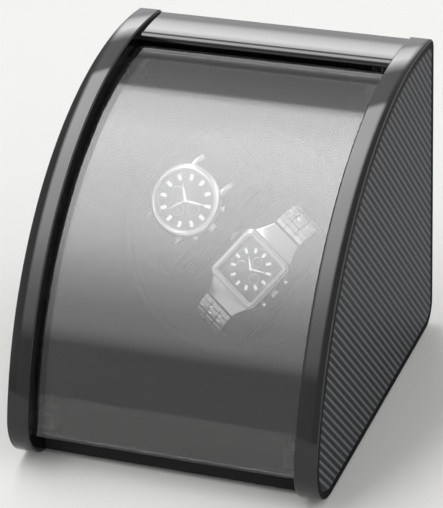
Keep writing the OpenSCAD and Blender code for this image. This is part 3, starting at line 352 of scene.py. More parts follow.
class Shape:
    """Points in millimetres with their faces, and the number of the finish that each face takes."""

    def __init__(self, place=STILL):
        self.place, self.points, self.faces, self.kinds = place, [], [], []

    def ring(self, points, at=STILL):
        start = len(self.points)
        self.points += [self.place @ at @ Vector(p) for p in points]
        return list(range(start, len(self.points)))

    def face(self, corners, kind=0):
        self.faces.append(tuple(corners))
        self.kinds.append(kind)

    def loft(self, rings, kinds=0, at=STILL, caps=(True, True)):
        """Joins closed rings of equally many points; kinds is one finish, or one for each step."""
        laid = [self.ring(r, at) for r in rings]
        steps = kinds if isinstance(kinds, list) else [kinds] * (len(rings) - 1)
        count = len(laid[0])
        for a, b, kind in zip(laid, laid[1:], steps):
            for i in range(count):
                j = (i + 1) % count
                self.face((a[i], a[j], b[j], b[i]), kind)
        if caps[0]:
            self.face(laid[0][::-1], steps[0])
        if caps[1]:
            self.face(laid[-1], steps[-1])
        return laid

    def lathe(self, profile, count=64, kinds=0, at=STILL, flute=0.0):
        """Turns (radius, height) pairs about z; flute presses every second column in."""
        turns = [(c, s, flute * (i % 2)) for i, (c, s) in enumerate(circle(count))]
        self.loft([[((r - d) * c, (r - d) * s, z) for c, s, d in turns] for r, z in profile], kinds, at)

    def block(self, low, high, ease, kind=0, at=STILL):
        """A box with its edges chamfered."""
        def rim(inset, z):
            x0, y0, x1, y1 = low[0] + inset, low[1] + inset, high[0] - inset, high[1] - inset
            return [(x0 + ease, y0, z), (x1 - ease, y0, z), (x1, y0 + ease, z), (x1, y1 - ease, z),
                    (x1 - ease, y1, z), (x0 + ease, y1, z), (x0, y1 - ease, z), (x0, y0 + ease, z)]
        self.loft([rim(ease, low[2]), rim(0, low[2] + ease), rim(0, high[2] - ease), rim(ease, high[2])], kind, at)

    def hand(self, turn, length, tail, width, low, high, kind=0, at=STILL):
        """A watch hand with a ridge along its middle, turned clockwise from twelve."""
        wide = length * 0.3
        at = at @ Matrix.Rotation(math.radians(-turn), 4, "Z")
        a, b, c, d, e, f = self.ring([
            (0, -tail, low), (width / 2, wide, low), (0, length, low), (-width / 2, wide, low),
            (0, -tail * 0.7, high), (0, length * 0.93, high)], at)
        for corners in ((a, b, e), (b, f, e), (b, c, f), (c, d, f), (d, e, f), (d, a, e), (d, c, b, a)):
            self.face(corners, kind)


def rounded(width, height, radius, z=0.0, count=5):
    """A rectangle about the origin with round corners."""
    points = []
    for sx, sy, first in ((1, 1, 0), (-1, 1, 90), (-1, -1, 180), (1, -1, 270)):
        for i in range(count + 1):
            a = math.radians(first + 90 * i / count)
            points.append((sx * (width / 2 - radius) + radius * math.cos(a),
                           sy * (height / 2 - radius) + radius * math.sin(a), z))
    return points


def held(loop, gap=0.3):
    """A loop with points close to the ends of its long sides, which keep their shading flat."""
    points = []
    for here, there in zip(loop, loop[1:] + loop[:1]):
        here, there = Vector(here), Vector(there)
        points.append(here)
        span = (there - here).length
        if span > 4 * gap:
            points += [here.lerp(there, gap / span), here.lerp(there, 1 - gap / span)]
    return points


def filleted(corners, count=6):
    """A closed outline of (y, z, radius) corners, each with its radius rounded off."""
    points = []
    for i, (y, z, radius) in enumerate(corners):
        here = Vector((y, z))
        to_last = (Vector(corners[i - 1][:2]) - here).normalized()
        to_next = (Vector(corners[(i + 1) % len(corners)][:2]) - here).normalized()
        if radius == 0:
            points.append(here)
            continue
        half = to_last.angle(to_next) / 2
        middle = here + (to_last + to_next).normalized() * (radius / math.sin(half))
        start, end = (here + d * (radius / math.tan(half)) - middle for d in (to_last, to_next))
        for k in range(count + 1):
            points.append(middle + start.slerp(end, k / count))
    return points


def cheek_outline(inset):
    """Points (y, z) round a cheek, moved in by inset."""
    def sweep(centre, radius, first, last, count):
        turns = [math.radians(first + (last - first) * i / count) for i in range(count)]
        return [(centre[0] + radius * math.cos(a), centre[1] + radius * math.sin(a)) for a in turns]

    def seen_from_arc(corner):
        return math.degrees(math.atan2(corner[1] - ARC[1], corner[0] - ARC[0]))
    front, top = seen_from_arc(FRONT_CORNER), seen_from_arc(TOP_CORNER)
    return (sweep(ARC, ARC_R - inset, front, top, 130)
            + sweep(TOP_CORNER, TOP_CORNER[2] - inset, top, 0, 12)
            + sweep(BACK_CORNER, BACK_CORNER[2] - inset, 0, -90, 14)
            + sweep(FRONT_CORNER, FRONT_CORNER[2] - inset, 270, front, 20))


def in_metres(place):
    """A place in millimetres as a matrix in metres."""
    return Matrix.LocRotScale(place.translation * MM, place.to_3x3().to_quaternion(), None)


def object_of(name, mesh):
    made = bpy.data.objects.new(name, mesh)
    bpy.context.scene.collection.objects.link(made)
    return made


def solid(name, shape, *finishes):
    """An object in metres with a shape's faces, their normals outward."""
    mesh = bpy.data.meshes.new(name)
    mesh.from_pydata([p * MM for p in shape.points], [], shape.faces)
    for key in finishes:
        mesh.materials.append(FINISH[key])
    mesh.polygons.foreach_set("material_index", shape.kinds)
    tidy_mesh(mesh)
    return object_of(name, mesh)


def shade(mesh, sharp=32.0):
    """Shades a mesh smooth but for its sharp edges."""
    mesh.polygons.foreach_set("use_smooth", [True] * len(mesh.polygons))
    mesh.set_sharp_from_angle(angle=math.radians(sharp))


def tidy_mesh(mesh, sharp=32.0):
    """Turns normals outward, and shades the mesh."""
    work = bmesh.new()
    work.from_mesh(mesh)
    bmesh.ops.recalc_face_normals(work, faces=work.faces)
    work.to_mesh(mesh)
    work.free()
    shade(mesh, sharp)


def dress(made, *nodes, stands_for=True):
    """Lets a piece ride with the body of its CAD node, and stand for it."""
    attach(made, BODY_OF[nodes[0]])
    if stands_for:
        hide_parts(*nodes)


def baked(made):
    """Replaces an object's mesh by what its modifiers make of it, and removes them."""
    graph = bpy.context.evaluated_depsgraph_get()
    mesh = bpy.data.meshes.new_from_object(made.evaluated_get(graph))
    made.modifiers.clear()
    made.data = mesh
    return made


def eased(node, finish, width_mm, segments=2):
    """A piece with a CAD node's form and its edges eased by a real width."""
    mesh = bpy.data.meshes.new(node + "_eased")
    work = bmesh.new()
    work.from_mesh(NODES[node].data)
    weld = 0.002 * MM
    bmesh.ops.remove_doubles(work, verts=work.verts, dist=weld)
    bmesh.ops.dissolve_degenerate(work, edges=work.edges, dist=weld)
    bmesh.ops.dissolve_limit(work, angle_limit=math.radians(0.5), verts=work.verts, edges=work.edges)
    work.to_mesh(mesh)
    work.free()
    mesh.materials.clear()
    mesh.materials.append(FINISH[finish])
    mesh.polygons.foreach_set("material_index", [0] * len(mesh.polygons))
    made = object_of(node + "_eased", mesh)
    bevel = made.modifiers.new("ease", "BEVEL")
    bevel.width, bevel.segments = width_mm * MM, segments
    bevel.limit_method, bevel.angle_limit = "ANGLE", math.radians(38)
    bevel.use_clamp_overlap = True
    baked(made)
    tidy_mesh(made.data, 15.0)
    dress(made, node)


def carried(finish, *nodes):
    """CAD nodes that are shown as they are, in a finish."""
    for node in nodes:
        kept = NODES[node]
        if not kept.material_slots:
            kept.data.materials.append(FINISH[finish])
        for slot in kept.material_slots:
            slot.material = FINISH[finish]


def geometry_tree(name, inputs):
    """An empty Geometry Nodes tree with named inputs, and the sockets that give them."""
    tree = bpy.data.node_groups.new(name, "GeometryNodeTree")
    for label, kind in inputs:
        tree.interface.new_socket(label, in_out="INPUT", socket_type="NodeSocket" + kind)
    tree.interface.new_socket("Geometry", in_out="OUTPUT", socket_type="NodeSocketGeometry")
    return tree, add(tree, "NodeGroupInput").outputs


def end_tree(tree, instances, finish):
    """Makes instances real, gives them a finish and sends them out."""
    real = add(tree, "GeometryNodeRealizeInstances", {0: instances})
    done = add(tree, "GeometryNodeSetMaterial", {"Geometry": real, "Material": finish})
    add(tree, "NodeGroupOutput", {0: done})
    return tree


def bars_on_arc():
    """A tree that sets bars on an arc, each pointing to its middle: dial markers, minute ticks, scale marks."""
    tree, given = geometry_tree("bars_on_arc", (
        ("Count", "Int"), ("Radius", "Float"), ("Start", "Float"), ("Sweep", "Float"), ("Width", "Float"),
        ("Length", "Float"), ("Height", "Float"), ("Finish", "Material")))
    arc = add(tree, "GeometryNodeCurveArc", {"Resolution": given["Count"], "Radius": given["Radius"],
                                             "Start Angle": given["Start"], "Sweep Angle": given["Sweep"]})
    size = add(tree, "ShaderNodeCombineXYZ", {0: given["Width"], 1: given["Length"], 2: given["Height"]})
    bar = add(tree, "GeometryNodeMeshCube", {"Size": size})
    index = add(tree, "GeometryNodeInputIndex")
    last = add(tree, "ShaderNodeMath", {0: given["Count"], 1: 1.0}, operation="SUBTRACT")
    share = add(tree, "ShaderNodeMath", {0: index, 1: last}, operation="DIVIDE")
    swept = add(tree, "ShaderNodeMath", {0: share, 1: given["Sweep"], 2: given["Start"]}, operation="MULTIPLY_ADD")
    turn = add(tree, "ShaderNodeMath", {0: swept, 1: math.pi / 2}, operation="SUBTRACT")
    rotation = add(tree, "ShaderNodeCombineXYZ", {2: turn})
    set_out = add(tree, "GeometryNodeInstanceOnPoints", {
        "Points": arc, "Instance": bar, "Rotation": rotation})
    return end_tree(tree, set_out, given["Finish"])


def links_on_path():
    """A tree that sets one shape along a path, at a pitch: bracelet links and stitches."""
    tree, given = geometry_tree("links_on_path", (
        ("Path", "Geometry"), ("Pitch", "Float"), ("Link", "Object"), ("Finish", "Material")))
    curve = add(tree, "GeometryNodeMeshToCurve", {"Mesh": given["Path"]})
    spaced = add(tree, "GeometryNodeResampleCurve", {"Curve": curve, "Length": given["Pitch"]},
                 mode="LENGTH")
    tangent = add(tree, "GeometryNodeInputTangent")
    across = add(tree, "ShaderNodeCombineXYZ", {0: 1.0})
    turned = add(tree, "FunctionNodeAxesToRotation", {0: tangent, 1: across},
                 primary_axis="Y", secondary_axis="X")
    link = add(tree, "GeometryNodeObjectInfo", {"Object": given["Link"]})
    set_out = add(tree, "GeometryNodeInstanceOnPoints", {
        "Points": spaced, "Instance": link.outputs["Geometry"], "Rotation": turned})
    return end_tree(tree, set_out, given["Finish"])


def grown(name, tree, place, values, path=()):
    """An object with what a tree makes of its named inputs, put in place. Path points are in millimetres."""
    mesh = bpy.data.meshes.new(name)
    mesh.from_pydata([Vector(p) * MM for p in path], [(i, i + 1) for i in range(len(path) - 1)], [])
    made = object_of(name, mesh)
    modifier = made.modifiers.new("grow", "NODES")
    modifier.node_group = tree
    for item in tree.interface.items_tree:
        if item.in_out == "INPUT" and item.name in values:
            modifier[item.identifier] = values[item.name]
    baked(made)
    made.data.transform(in_metres(place))
    tidy_mesh(made.data)
    return made


def joined(made, *others):
    """One object with the meshes of several; the others go."""
    work = bmesh.new()
    finishes = list(made.data.materials)
    for one in (made, *others):
        first = len(work.faces)
        work.from_mesh(one.data)
        work.faces.ensure_lookup_table()
        finishes += [finish for finish in one.data.materials if finish and finish not in finishes]
        for face in work.faces[first:]:
            face.material_index = finishes.index(one.data.materials[face.material_index])
    for finish in finishes[len(made.data.materials):]:
        made.data.materials.append(finish)
    work.to_mesh(made.data)
    work.free()
    for one in others:
        bpy.data.objects.remove(one)
    shade(made.data)
    return made


def round_cushion_path(start, radius, half=30.0, step=1.5):
    """Points (y, z) and outward directions round a cushion: from start on its top, under it, back to -start."""
    points = []
    count = max(2, int((half - start) / step))
    points += [(start + (half - start) * i / count, radius, 0.0, 1.0) for i in range(count)]
    for centre, first in ((half, 90), (-half, -90)):
        for i in range(25):
            a = math.radians(first - 180 * i / 24)
            points.append((centre + radius * math.cos(a), radius * math.sin(a), math.cos(a), math.sin(a)))
        if centre > 0:
            points += [(half - 2 * half * i / 30, -radius, 0.0, -1.0) for i in range(1, 30)]
    points += [(-half + (half - start) * i / count, radius, 0.0, 1.0) for i in range(1, count + 1)]
    return points


def band(shape, path, section, kinds=0):
    """Sweeps a closed (x, height) section along a path round a cushion."""
    shape.loft([[(x, y + ny * h, z + nz * h) for x, h in section] for y, z, ny, nz in path], kinds)


class WinderSizes(bpy.types.PropertyGroup):
    """Real sizes that the dressed pieces take."""
    lacquer_ease: bpy.props.FloatProperty(
        name="Lacquer rounding", description="Radius of the lacquered edges", default=0.9 * MM, unit="LENGTH")
    mould_ease: bpy.props.FloatProperty(
        name="Mould rounding", description="Width of the eased edges of moulded pieces", default=0.5 * MM,
        unit="LENGTH")
    door_ease: bpy.props.FloatProperty(
        name="Door rounding", description="Radius of the door's polished edges", default=0.5 * MM, unit="LENGTH")
    tow: bpy.props.FloatProperty(
        name="Tow width", description="Width of one tow in the twill", default=1.45 * MM, unit="LENGTH")
    link_pitch: bpy.props.FloatProperty(
        name="Link pitch", description="Distance between links of the bracelet", default=3.1 * MM, unit="LENGTH")
    stitch_pitch: bpy.props.FloatProperty(
        name="Stitch pitch", description="Distance between stitches of the strap", default=3.4 * MM, unit="LENGTH")
    cover_swell: bpy.props.FloatProperty(
        name="Cover swell", description="How far the filling may push a cushion's cover out", default=0.85 * MM,
        unit="LENGTH")


class WinderLooks(bpy.types.PropertyGroup):
    """Colours and strengths of the finishes and the light."""
    door_alpha: bpy.props.FloatProperty(
        name="Door smoke", description="Share of light that each face of the door takes away", default=0.22,
        subtype="FACTOR", min=0, max=1)
    # The twill's light colour is a painted sheen on the tows that lie on top, and its dark colour is the fibre's
    # black, with painted shade at the tow edges
    twill_dark: bpy.props.FloatVectorProperty(
        name="Twill dark", description="Colour of the tows that lie low", size=4, subtype="COLOR",
        default=linear("#020203"))
    twill_painted_sheen: bpy.props.FloatVectorProperty(
        name="Twill light", description="Colour of the tows that lie high", size=4, subtype="COLOR",
        default=linear("#686a6e"))
    floor: bpy.props.FloatVectorProperty(
        name="Floor", description="Colour of the studio floor", size=4, subtype="COLOR", default=linear("#dadad8"))
    room_light: bpy.props.FloatProperty(
        name="Room light", description="Even light from all round", default=0.5)
    strip_light: bpy.props.FloatProperty(
        name="Strip light", description="Strength of the long softbox over the case", default=1.0)
    left_fill: bpy.props.FloatProperty(
        name="Left fill", description="Strength of the soft light from the left", default=0.7)
    right_fill: bpy.props.FloatProperty(
        name="Right fill", description="Strength of the soft light from the right", default=1.2)


class WINDER_OT_finishes(bpy.types.Operator):
    """Makes the finishes that the pieces take"""
    bl_idname = "winder.finishes"
    bl_label = "Finishes"

    def execute(self, context):
        FINISH.clear()
        FINISH.update(make_finishes(context.scene.winder_sizes, context.scene.winder_looks))
        return {"FINISHED"}


class WINDER_OT_cheeks(bpy.types.Operator):
    """Builds the two lacquered cheeks and the carbon-look inlays let into them"""
    bl_idname = "winder.cheeks"
    bl_label = "Cheeks and inlays"

    def execute(self, context):
        ease = context.scene.winder_sizes.lacquer_ease / MM
        hinge = [c / MM for c in JOINTS["door_hinge"]["pos_m"]]
        bush_r, bush_depth, bush_sides = 4.03, 8.02, 40
        margin, recess = 5.0, 1.2
        for side, name in ((-1, "left"), (1, "right")):
            def ring(x, inset):
                return [(side * x, y, z) for y, z in cheek_outline(inset)]
            turns = [math.radians(90 * i / 5) for i in range(6)]
            inner = [(INNER_X + ease * (1 - math.cos(a)), ease * (1 - math.sin(a))) for a in turns]
            outer = [(OUTER_X - ease * (1 - math.sin(a)), ease * (1 - math.cos(a))) for a in turns]
            steps = [(INNER_X, ease + 0.2)] + inner + outer + [
                (OUTER_X, ease + 0.2), (OUTER_X, margin - 0.3), (OUTER_X - 0.15, margin - 0.05),
                (OUTER_X - recess, margin)]
            shape = Shape()
            laid = shape.loft([ring(x, inset) for x, inset in steps],
                              [0] * (len(steps) - 5) + [1, 1, 1, 1], caps=(False, True))
            # The hole for the pivot bush, in the inner face
            turned = [(hinge[1] + bush_r * c, hinge[2] + bush_r * s) for c, s in circle(bush_sides)]
            hole = shape.loft([[(side * x, y, z) for y, z in turned] for x in (INNER_X, INNER_X + bush_depth)],
                              caps=(False, True))
            edge, rim = laid[0], hole[0]
            flat = [[Vector((shape.points[i].y, shape.points[i].z, 0)) for i in loop] for loop in (edge, rim)]
            for corners in tessellate_polygon(flat):
                shape.face([(edge + rim)[i] for i in corners])
            dress(solid(name + "_cheek_lacquered", shape, "lacquer", "edge"), name + "_cheek")
            inlay = Shape()
            inlay.loft([ring(OUTER_X - under, margin + inset) for under, inset in (
                (recess - 0.02, 0.15), (0.2, 0.15), (0.04, 0.3), (0.04, 0.5))])
            dress(solid(name + "_inlay_twill", inlay, "twill"), name + "_inlay")
        return {"FINISHED"}


class WINDER_OT_rail(bpy.types.Operator):
    """Builds the crowned top rail with its rolled front edge"""
    bl_idname = "winder.rail"
    bl_label = "Top rail"

    def execute(self, context):
        low, high = (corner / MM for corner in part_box("top_rail"))
        crest, crown, top = low.y + 16, 175.0, 187.5

        def crowned(y):
            return top - crown + math.sqrt(crown ** 2 - (y - crest) ** 2)
        over = [low.y + 3 + (110.4 - low.y - 3) * i / 24 for i in range(25)]
        turns = [math.radians(54 - 9 * i) for i in range(7)]
        corners = [(low.y, 182.9, 1.0), (low.y, crowned(low.y), 1.6)] + [(y, crowned(y), 0) for y in over] + [
            (TOP_CORNER[0] + 6 * math.cos(a), TOP_CORNER[1] + 6 * math.sin(a), 0) for a in turns] + [
            (high.y, low.z, 0.5), (low.y + 5, low.z, 0.4), (low.y + 4, 181.9, 0.4)]
        section = filleted(corners)
        shape = Shape()
        shape.loft([[(x, y, z) for y, z in section] for x in (low.x, high.x)])
        dress(solid("top_rail_lacquered", shape, "lacquer"), "top_rail")
        eased("front_sill", "edge", context.scene.winder_sizes.lacquer_ease / MM)
        return {"FINISHED"}


class WINDER_OT_door(bpy.types.Operator):
    """Builds the curved smoked door, and dresses what it hangs on and shuts with"""
    bl_idname = "winder.door"
    bl_label = "Door"

    def execute(self, context):
        ease = context.scene.winder_sizes.door_ease / MM
        width, inner, outer = 152.4, 188.0, 192.0
        first, last, gap, steps = 8.99, 86.7, 0.3, 110
        quarter = [math.radians(90 * i / 4) for i in range(5)]
        lead = [(first + math.degrees(ease * (1 - math.cos(a)) / outer), ease * (1 - math.sin(a))) for a in quarter]
        run = [(first + gap + (last - first - 2 * gap) * i / steps, 0.0) for i in range(steps + 1)]
        tail = [(first + last - turn, inset) for turn, inset in reversed(lead)]
        rings = []
        for turn, inset in lead + run + tail:
            a = math.radians(turn)
            section = held(rounded(width - 2 * inset, outer - inner - 2 * inset, ease - inset * 0.7, count=4))
            rings.append([(x, ARC[0] - ((inner + outer) / 2 + r) * math.cos(a),
                           ARC[1] + ((inner + outer) / 2 + r) * math.sin(a)) for x, r, _ in section])
        shape = Shape()
        shape.loft(rings)
        dress(solid("door_acrylic", shape, "acrylic"), "door_panel")
        mould = context.scene.winder_sizes.mould_ease / MM
        eased("pivot_blocks", "plastic", mould * 0.6)
        eased("catch_plates", "dark_zinc", 0.3)
        eased("door_stops", "plastic", mould * 0.6)
        carried("zinc", "pivot_pins")
        carried("nylon", "pivot_bushes")
        carried("nickel", "stop_magnets")
        return {"FINISHED"}


class WINDER_OT_boards(bpy.types.Operator):
    """Dresses the boards, linings, feet, dowels and case screws"""
    bl_idname = "winder.boards"
    bl_label = "Boards and linings"

    def execute(self, context):
        mould = context.scene.winder_sizes.mould_ease / MM
        for node in ("base_board", "upper_batten", "deck_cleats"):
            eased(node, "board", 0.4)
        eased("back_panel", "plastic", mould)
        # Black filter felt glued over the vent slots, so that no light comes in from behind
        felt = Shape()
        felt.block((-42.0, 97.6, 124.0), (42.0, 98.9, 167.0), 0.3)
        dress(solid("vent_felt", felt, "suede"), "back_panel", stands_for=False)
        eased("deck", "suede", 0.6)
        eased("rubber_feet", "rubber", 0.8)
        carried("suede", "liner_boards")
        carried("board", "case_dowels")
        eased("back_screws", "zinc", 0.22)
        carried("dark_zinc", "deck_screws")
        return {"FINISHED"}


class WINDER_OT_drive(bpy.types.Operator):
    """Dresses the turntable with its cradles, and the gears, bushes and motor that turn it"""
    bl_idname = "winder.drive"
    bl_label = "Turntable and drive"

    def execute(self, context):
        mould = context.scene.winder_sizes.mould_ease / MM
        for node in ("turntable_disc", "round_cradle", "square_cradle"):
            eased(node, "plastic", mould)
        for node in ("drive_plate", "motor_gearbox", "motor_can"):
            eased(node, "zinc", 0.3)
        carried("zinc", "plate_pillars", "drive_screws", "turntable_shaft", "retaining_clip", "cradle_screws")
        carried("bronze", "front_bush", "rear_bush", "motor_pinion")
        carried("nylon", "drive_gear")
        return {"FINISHED"}


def cover_rings():
    """A cushion's cover in its own frame, a little small, and pressed in where a strap goes round it."""
    stations = ((20.8, 7.4), (20.2, 8.5), (18.0, 9.1), (12.0, 9.1), (STRAP_HALF, 9.45))
    half = [(-x, r) for x, r in stations] + [(x, r) for x, r in reversed(stations)]
    rings = []
    for x, radius in half:
        loop = round_cushion_path(0.0, radius, step=2.0)[:-1]
        rings.append([(x, y, z) for y, z, _, _ in loop])
    return rings


def swollen(made, pressure, strap_half, cap):
    """Lets a closed cover swell beside its strap under the pressure of its filling, no point further than cap."""
    scene, frames = bpy.context.scene, 20
    under_strap = made.vertex_groups.new(name="under_strap")
    under_strap.add([v.index for v in made.data.vertices if abs(v.co.x) < strap_half], 1.0, "REPLACE")
    before = [v.co.copy() for v in made.data.vertices]
    cloth = made.modifiers.new("cover", "CLOTH")
    cloth.settings.quality = 6
    cloth.settings.vertex_group_mass = "under_strap"
    cloth.settings.use_pressure = True
    cloth.settings.uniform_pressure_force = pressure
    cloth.settings.effector_weights.gravity = 0.0
    cloth.point_cache.frame_start, cloth.point_cache.frame_end = 1, frames
    for number in range(1, frames + 1):
        scene.frame_set(number)
    graph = bpy.context.evaluated_depsgraph_get()
    after = [v.co.copy() for v in made.evaluated_get(graph).data.vertices]
    made.modifiers.remove(cloth)
    scene.frame_set(1)
    for vertex, old, new in zip(made.data.vertices, before, after):
        way = new - old
        vertex.co = old + way * min(1.0, cap / max(way.length, 1e-9))


class WINDER_OT_cushions(bpy.types.Operator):
    """Builds the two stuffed cushions, their covers swollen by a cloth simulation, with piped seams"""
    bl_idname = "winder.cushions"
    bl_label = "Cushions"

    def execute(self, context):
        # The simulation runs at ten times the real size, where the solver is steady
        scale, pipe_r = 10.0, 0.75
        shape = Shape()
        shape.loft(cover_rings())
        cover = solid("cover_master", shape, "cushion")
        cover.data.transform(Matrix.Scale(scale, 4))
        remesh = cover.modifiers.new("even", "REMESH")
        remesh.mode, remesh.voxel_size = "VOXEL", 1.5 * MM * scale
        baked(cover)
        swollen(cover, 4.0, STRAP_HALF * MM * scale, context.scene.winder_sizes.cover_swell * scale)
        smooth = cover.modifiers.new("smooth", "SUBSURF")
        smooth.levels = smooth.render_levels = 1
        baked(cover)
        cover.data.transform(Matrix.Scale(1 / scale, 4))
        for side, name in ((-1, "round"), (1, "square")):
            place = on_watch(side, CUSHION_MID)
            piping = Shape(place)
            for x in (-20.4, 20.4):
                loop = round_cushion_path(0.0, 9.0, step=2.0)[:-1]
                rings = [[(x + pipe_r * c, y + ny * pipe_r * s, z + nz * pipe_r * s) for c, s in circle(8)]
                         for y, z, ny, nz in loop]
                piping.loft(rings + [rings[0]], caps=(False, False))
            mesh = cover.data.copy()
            mesh.transform(in_metres(place))
            mesh.materials.clear()
            mesh.materials.append(FINISH["cushion"])
            body = object_of(name + "_cushion_cover", mesh)
            made = joined(body, solid(name + "_piping", piping, "cushion"))
            dress(made, name + "_cushion")
        bpy.data.objects.remove(cover)
        return {"FINISHED"}


def sunk_dials(shape, centres, radius, kind):
    """Raised rims and small hands of the counters on a dial."""
    for x, y, turn in centres:
        at = Matrix.Translation((x, y, DIAL_TOP))
        shape.lathe([(radius, -0.05), (radius, 0.1), (radius - 0.12, 0.14), (radius - 0.4, 0.14),
                     (radius - 0.45, -0.05)], 36, kind, at)
        shape.hand(turn, radius * 0.75, radius * 0.25, 0.55, 0.1, 0.3, kind, at)


def dial_marks(name, place, radius, hours, counters):
    """Minute ticks, hour markers and counter ticks of a dial, as one object."""
    tree = bars_on_arc()

    def bars(label, at, count, r, width, length, height, finish):
        return grown(name + label, tree, place @ Matrix.Translation((*at, DIAL_TOP + height / 2)), {
            "Count": count, "Radius": r * MM, "Start": 0.0, "Sweep": math.tau * (1 - 1 / count),
            "Width": width * MM, "Length": length * MM, "Height": height * MM, "Finish": FINISH[finish]})
    # The ticks and hour markers take finishes that glow with a painted glow by emission
    made = bars("_minutes", (0, 0), 60, radius - 0.7, 0.22, 0.9, 0.06, "dial_print")
    others = [bars("_hours", (0, 0), 12, hours[0], hours[1], hours[2], 0.45, "lume")]
    for number, (x, y, _) in enumerate(counters):
        others.append(bars("_counter_%d" % number, (x, y), 12, hours[3], 0.16, 0.6, 0.05, "dial_print"))
    return joined(made, *others)


def crown_and_pushers(place, flank, pushers, round_case):
    """A fluted crown and two pushers on the right of a case."""
    shape = Shape(place)
    outward = Matrix.Translation((flank, 0, 2.9)) @ Matrix.Rotation(math.radians(90), 4, "Y")
    shape.lathe([(1.5, -0.6), (1.5, 0.5), (2.4, 0.55), (2.6, 0.8), (2.6, 2.9), (2.3, 3.3), (1.2, 3.45)], 44, 0,
                outward, 0.14)
    for turn in (-1, 1):
        if round_case:
            moved = Matrix.Rotation(math.radians(turn * pushers), 4, "Z")
        else:
            moved = Matrix.Translation((0, turn * pushers, 0))
        shape.lathe([(1.0, -0.6), (1.0, 0.9), (1.75, 1.0), (1.8, 1.2), (1.8, 2.6), (1.5, 2.9)], 28, 0,
                    moved @ outward)
    return shape


def tapered(shape, stations, ease, count, sides=(1, 1), shift=0.0):
    """Lofts a lug or end link along y from its (y, width, low, high) stations."""
    rings = []
    for y, wide, low, high in stations:
        section = rounded(wide, high - low, ease, count=count)
        rings.append([(sides[0] * (shift + x), sides[1] * y, (low + high) / 2 + z) for x, z, _ in section])
    shape.loft(rings)


def watch_head(name, shapes, counters, counter_r, marks_r, hours):
    """Builds a watch's case, dial with its marks, hands, crystal and crown from their shapes."""
    def piece(part, look, *finishes):
        return solid("%s_%s_%s" % (name, part, look), shapes[part], *finishes)
    dress(piece("case", "steel", name + "_brushed", "polished"), name + "_case")
    sunk_dials(shapes["dial"], counters, counter_r, 1)
    marks = dial_marks(name, shapes["dial"].place, marks_r, hours, counters)
    dress(joined(piece("dial", "sunray", name + "_dial", "polished"), marks), name + "_dial")
    # The hands take the lume finish, which glows with a painted glow by emission
    for part, look, finish in (("hands", "lume", "lume"), ("crystal", "sapphire", "crystal"),
                               ("crown", "steel", "polished")):
        dress(piece(part, look, finish), name + "_" + part)


class WINDER_OT_round_watch(bpy.types.Operator):
    """Builds the round chronograph on its leather strap"""
    bl_idname = "winder.round_watch"
    bl_label = "Round watch"

    def execute(self, context):
        case, dial, hands, crystal = (Shape(ROUND) for _ in range(4))
        profile = [(15.5, 0.0), (18.4, 0.35), (19.6, 1.2), (20.0, 2.3), (20.0, 5.0), (20.2, 5.6), (20.9, 5.9),
                   (21.0, 6.3), (21.0, 7.6), (20.75, 8.05), (19.25, 9.45), (18.75, 9.6), (18.3, 9.6), (18.05, 9.35),
                   (18.05, 8.3), (17.25, 8.2), (17.2, 6.45), (17.2, 5.75)]
        case.lathe(profile, 96, [0] * 5 + [1] * 12)
        lug = ((13.0, 2.8, 2.2, 6.0), (16.5, 2.8, 2.0, 5.9), (20.0, 2.8, 1.4, 5.0), (23.0, 2.8, 0.7, 3.6),
               (24.5, 2.8, 0.6, 2.2))
        for sides in ((-1, -1), (-1, 1), (1, -1), (1, 1)):
            tapered(case, lug, 0.5, 2, sides, 11.7)
        dial.lathe([(17.1, 5.85), (17.1, 6.35), (17.0, DIAL_TOP)], 72)
        hands.hand(-55, 9.6, 2.2, 1.7, 6.95, 7.3)
        hands.hand(60, 14.0, 2.6, 1.4, 7.35, 7.65)
        hands.hand(200, 14.6, 4.2, 0.5, 7.7, 7.82)
        hands.lathe([(0.9, DIAL_TOP), (0.9, 7.7), (0.6, 7.95)], 24)
        crystal.lathe([(17.6, 8.42), (17.95, 8.6), (17.95, 9.2), (17.6, 9.5), (12.0, 9.6)], 72)
        crown = crown_and_pushers(ROUND, 20.0, 32.0, True)
        counters = [(-6.7, 0.0, 30.0), (6.7, 0.0, 250.0), (0.0, -6.7, 120.0)]
        watch_head("round", {"case": case, "dial": dial, "hands": hands, "crystal": crystal, "crown": crown},
                   counters, 3.9, 17.1, (13.6, 1.9, 3.4, 3.0))

        place = on_watch(-1, CUSHION_MID)
        strap = Shape(place)
        section = [(-9.6, 0.05), (9.6, 0.05), (10.0, 0.4), (10.0, 1.4), (9.5, 1.9), (6.0, 2.3), (0.0, 2.4),
                   (-6.0, 2.3), (-9.5, 1.9), (-10.0, 1.4), (-10.0, 0.4)]
        path = round_cushion_path(21.0, 10.3)
        band(strap, path, section)
        thread = Shape()
        thread.block((-0.28, -1.1, -0.2), (0.28, 1.1, 0.2), 0.12)
        stitch = solid("stitch_master", thread, "thread")
        tree, pitch = links_on_path(), context.scene.winder_sizes.stitch_pitch
        seams = [grown("seam", tree, place, {"Pitch": pitch, "Link": stitch, "Finish": FINISH["thread"]},
                       [(x, y + ny * 2.03, z + nz * 2.03) for y, z, ny, nz in path[2:-2]]) for x in (-8.5, 8.5)]
        dress(joined(solid("round_strap_leather", strap, "strap"), *seams), "round_strap")
        bpy.data.objects.remove(stitch)
        return {"FINISHED"}


